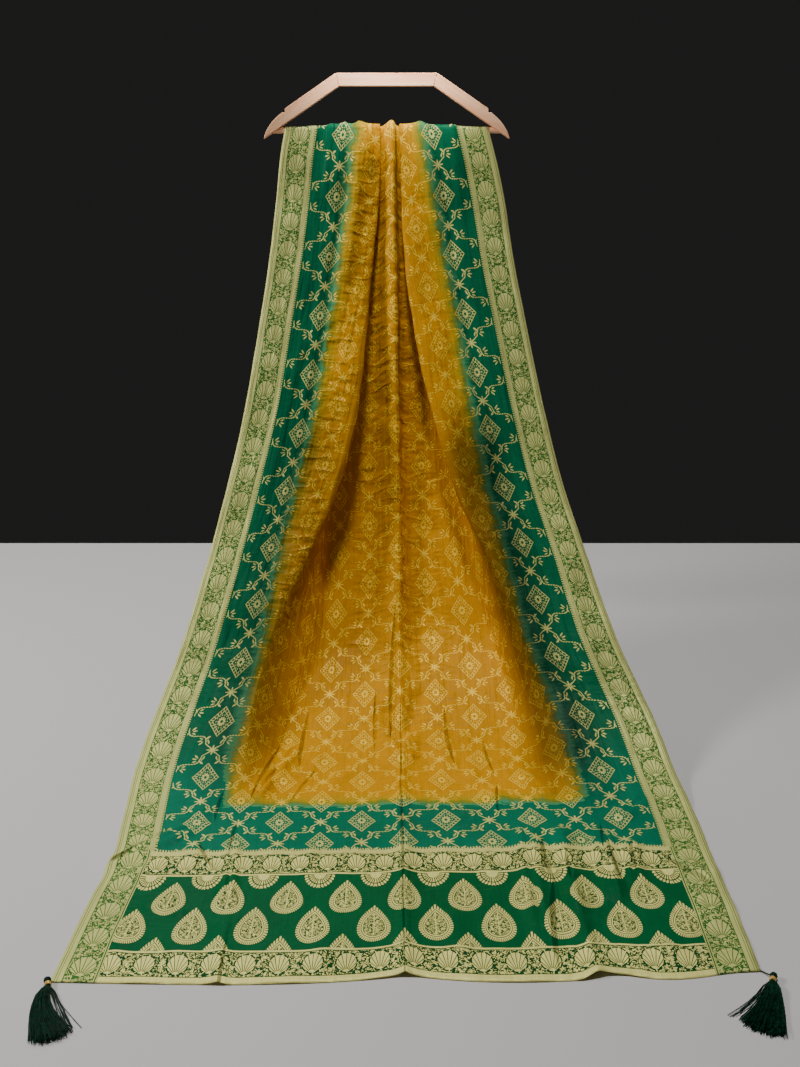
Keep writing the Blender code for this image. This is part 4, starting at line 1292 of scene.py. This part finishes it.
# %% Yarn and gilt
SKIRT_THREADS = 420
LOOSE_THREADS = 8
KNOB_RADIUS = 0.0046
BEAD_LENGTH = 0.0062
SKIRT_LENGTH = 0.086
THREAD_RADIUS = 0.00042
WINDING_RADIUS = 0.00058
CORE_RADIUS = KNOB_RADIUS - 0.0006
PLY_RADIUS = 0.00050
PLY_FROM_MIDDLE = 0.00042
TIE_FOOT = 0.0010
TIE_TWISTS = 5
LEFT_CORNER = (DRAPE[-1].left_edge, DRAPE[-1].forward + HEM_SKEW * DRAPE[-1].left_edge)
RIGHT_CORNER = (DRAPE[-1].right_edge, DRAPE[-1].forward + HEM_SKEW * DRAPE[-1].right_edge)
LEFT_KNOB = (LEFT_CORNER[0] - 0.0024, LEFT_CORNER[1] + 0.0022)
RIGHT_KNOB = (RIGHT_CORNER[0] + 0.0105, RIGHT_CORNER[1] + 0.0130)


def mottle(tree, scale):
    """Small light and dark spots, for a yarn or a metal that isn't even."""
    place = tree.nodes.new("ShaderNodeTexCoord")
    noise = tree.nodes.new("ShaderNodeTexNoise")
    noise.inputs["Scale"].default_value = scale
    tree.links.new(place.outputs["Object"], noise.inputs["Vector"])
    return Sum(noise.outputs["Fac"])


def yarn():
    """Very dark green yarn with lighter spots."""
    material = new_material("dark_yarn", 0.40)
    tree, shader = material.node_tree, shader_of(material)
    spots = mottle(tree, 260)
    colours = ((0.35, dye(0, 16, 10)), (0.75, dye(8, 66, 44)))
    tree.links.new(colour_ramp(tree, spots, colours), shader.inputs["Base Color"])
    shader.inputs["Specular IOR Level"].default_value = 0.14
    raised(tree, shader, spots, 0.4, 0.0002)
    return material


def gilt():
    """Warm gilt with lighter and darker spots."""
    material = new_material("gilt", 0.32, metallic=0.35)
    tree = material.node_tree
    colours = ((0.3, dye(176, 124, 48)), (0.7, dye(250, 208, 116)))
    tree.links.new(colour_ramp(tree, mottle(tree, 700), colours), shader_of(material).inputs["Base Color"])
    return material


dark_yarn, bright_gilt = yarn(), gilt()
print("materials:", dark_yarn.name, "and", bright_gilt.name)


# %% Curves that become threads
def threads_from(name, paths, radius, sides):
    """One mesh of many threads, each a tube round its own path of points."""
    curve = bpy.data.curves.new(name, "CURVE")
    curve.dimensions = "3D"
    curve.bevel_depth = radius
    curve.bevel_resolution = sides
    curve.use_fill_caps = True
    for path in paths:
        spline = curve.splines.new("POLY")
        spline.points.add(len(path) - 1)
        for point, place in zip(spline.points, path):
            point.co = (*place, 1)
    made = bpy.data.objects.new(name, curve)
    bpy.context.scene.collection.objects.link(made)
    bpy.ops.object.select_all(action="DESELECT")
    made.select_set(True)
    bpy.context.view_layer.objects.active = made
    bpy.ops.object.convert(target="MESH")
    bpy.ops.object.shade_smooth()
    return bpy.context.object


def tassel_axes(knob, heading):
    """The knob's place on the floor, the way that the skirt runs, and the way across it."""
    along = Vector((math.sin(heading), -math.cos(heading), 0.0))
    return Vector((knob[0], -knob[1], FLOOR_Z)), along, Vector((0, 0, 1)).cross(along)


print("a tassel's own frame:", tassel_axes(LEFT_KNOB, 0.0))


# %% Paths of a skirt's threads
def skirt_paths(knob, heading, half_fan, bow, loose_side, dice):
    """The threads of one skirt. They bow to one side, and the last few lie loose on the other."""
    middle, along, across = tassel_axes(knob, heading)
    foot = KNOB_RADIUS * 0.8 + BEAD_LENGTH - 0.001
    paths = []
    for thread in range(SKIRT_THREADS + LOOSE_THREADS):
        loose = thread >= SKIRT_THREADS
        turn, share = dice.uniform(0, 2 * math.pi), math.sqrt(dice.uniform(0, 1))
        side, height = share * math.cos(turn), share * math.sin(turn)
        fan = half_fan * side + dice.normal(0, 0.035)
        if loose:
            side, height = dice.uniform(0.1, 0.9) * loose_side, -1.0
            fan = loose_side * half_fan * dice.uniform(0.7, 1.9)
        length = SKIRT_LENGTH * (1.0 + 0.04 * dice.normal() - 0.08 * side * side)
        stack = 0.0007 + 0.0052 * (0.5 + 0.5 * height) * (1 - 0.45 * abs(side))
        stack += 0.0009 * math.sin(13 * side + heading * 9)
        waver = dice.uniform(0, 6.28)
        path = []
        for t in (0.0, 0.06, 0.16, 0.32, 0.5, 0.7, 0.86, 1.0):
            swell = 1 - (1 - min(1.0, t * 5)) ** 2
            run = foot + length * t * math.cos(fan * t)
            out = side * (0.0018 + 0.0050 * swell) + length * t * math.sin(fan * (0.7 + 0.3 * t))
            out += 0.0010 * math.sin(5 * t + waver) * t
            if not loose:
                out += bow * (0.9 * math.sin(math.pi * t**0.75) + 0.4 * t)
            start = KNOB_RADIUS + height * 0.0018
            settle = min(1.0, t * 2.6)
            tall = start + (stack - start) * settle * settle * (3 - 2 * settle)
            tall += 0.0022 * swell * (1 - settle) + 0.0004 * math.sin(7 * t + waver)
            place = middle + along * run + across * out
            path.append((place.x, place.y, FLOOR_Z + max(tall, 0.0004)))
        paths.append(path)
    return paths


print("a skirt of", SKIRT_THREADS + LOOSE_THREADS, "threads")


# %% Wound knob
def wound_knob(name, knob, heading):
    """Yarn wound round and round into a knob, then round the neck under the bead."""
    middle, along, across = tassel_axes(knob, heading)
    path = []
    turns, per_turn = 9, 14
    for k in range(turns * per_turn + 1):
        t = k / (turns * per_turn)
        run = -KNOB_RADIUS * 0.92 + t * KNOB_RADIUS * 1.75
        radius = math.sqrt(max(0.0, 1 - (run / KNOB_RADIUS) ** 2)) * CORE_RADIUS
        radius = max(radius, 0.0011)
        turn = 2 * math.pi * k / per_turn
        up = Vector((0, 0, KNOB_RADIUS + radius * math.sin(turn)))
        path.append(tuple(middle + along * run + across * radius * math.cos(turn) + up))
    return threads_from(name, [path], WINDING_RADIUS, 1)


print("a knob", round(2 * KNOB_RADIUS * 1000, 1), "mm thick")

# %% Both tassels
Tassel = namedtuple("Tassel", "side knob heading half_fan bow loose_side seed")
TASSELS = [
    Tassel("left", LEFT_KNOB, math.radians(21), math.radians(10.5), -0.0095, 1, 7),
    Tassel("right", RIGHT_KNOB, math.radians(-26), math.radians(12.8), 0.0040, -1, 19),
]


def make_tassel(side, knob, heading, half_fan, bow, loose_side, seed):
    """The skirt, the wound knob and the knob's core, joined into one soft piece."""
    dice = np.random.default_rng(seed)
    paths = skirt_paths(knob, heading, half_fan, bow, loose_side, dice)
    skirt = threads_from("tassel_" + side + "_threads", paths, THREAD_RADIUS, 0)
    winding = wound_knob("tassel_" + side + "_winding", knob, heading)
    middle, along, across = tassel_axes(knob, heading)
    bpy.ops.object.select_all(action="DESELECT")
    bpy.ops.mesh.primitive_uv_sphere_add(segments=20, ring_count=12, radius=CORE_RADIUS)
    bpy.ops.transform.translate(value=middle + Vector((0, 0, KNOB_RADIUS)))
    bpy.ops.object.transform_apply(location=True, rotation=True, scale=True)
    bpy.ops.object.shade_smooth()
    for piece in (skirt, winding):
        piece.select_set(True)
    bpy.context.view_layer.objects.active = skirt
    bpy.ops.object.join()
    skirt.name = "tassel_" + side + "_yarn"
    skirt.data.materials.clear()
    skirt.data.materials.append(dark_yarn)
    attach(skirt, "root")
    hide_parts("tassel_" + side)
    print(skirt.name, len(skirt.data.polygons), "faces")
    return skirt


for tassel in TASSELS:
    make_tassel(*tassel)

# %% Beads and tie
for side in ("left", "right"):
    bead = solids["tassel_bead_" + side]
    bead.data.materials.clear()
    bead.data.materials.append(bright_gilt)


def twisted_tie():
    """Two plies round each other, from the cloth's corner to the right tassel's knob."""
    run = Vector(RIGHT_KNOB) - Vector(RIGHT_CORNER)
    start = Vector(RIGHT_CORNER) - run.normalized() * 0.0015
    end = Vector(RIGHT_KNOB) - run.normalized() * (KNOB_RADIUS - 0.0008)
    plies = []
    for ply in (0, math.pi):
        path = []
        for k in range(41):
            t = k / 40
            x = start.x + (end.x - start.x) * t + 0.0012 * math.sin(math.pi * t)
            forward = start.y + (end.y - start.y) * t
            height = TIE_FOOT + (KNOB_RADIUS * 0.8 - TIE_FOOT) * t**3
            turn = 2 * math.pi * TIE_TWISTS * t + ply
            side = Vector((run.y, run.x, 0)).normalized() * PLY_FROM_MIDDLE * math.cos(turn)
            height += PLY_FROM_MIDDLE * math.sin(turn)
            path.append((x + side.x, -forward + side.y, FLOOR_Z + height))
        plies.append(path)
    return threads_from("tassel_tie_twist", plies, PLY_RADIUS, 1)


tie = twisted_tie()
tie.data.materials.clear()
tie.data.materials.append(dark_yarn)
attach(tie, "root")
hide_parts("tassel_tie_right")
print(tie.name, len(tie.data.polygons), "faces")
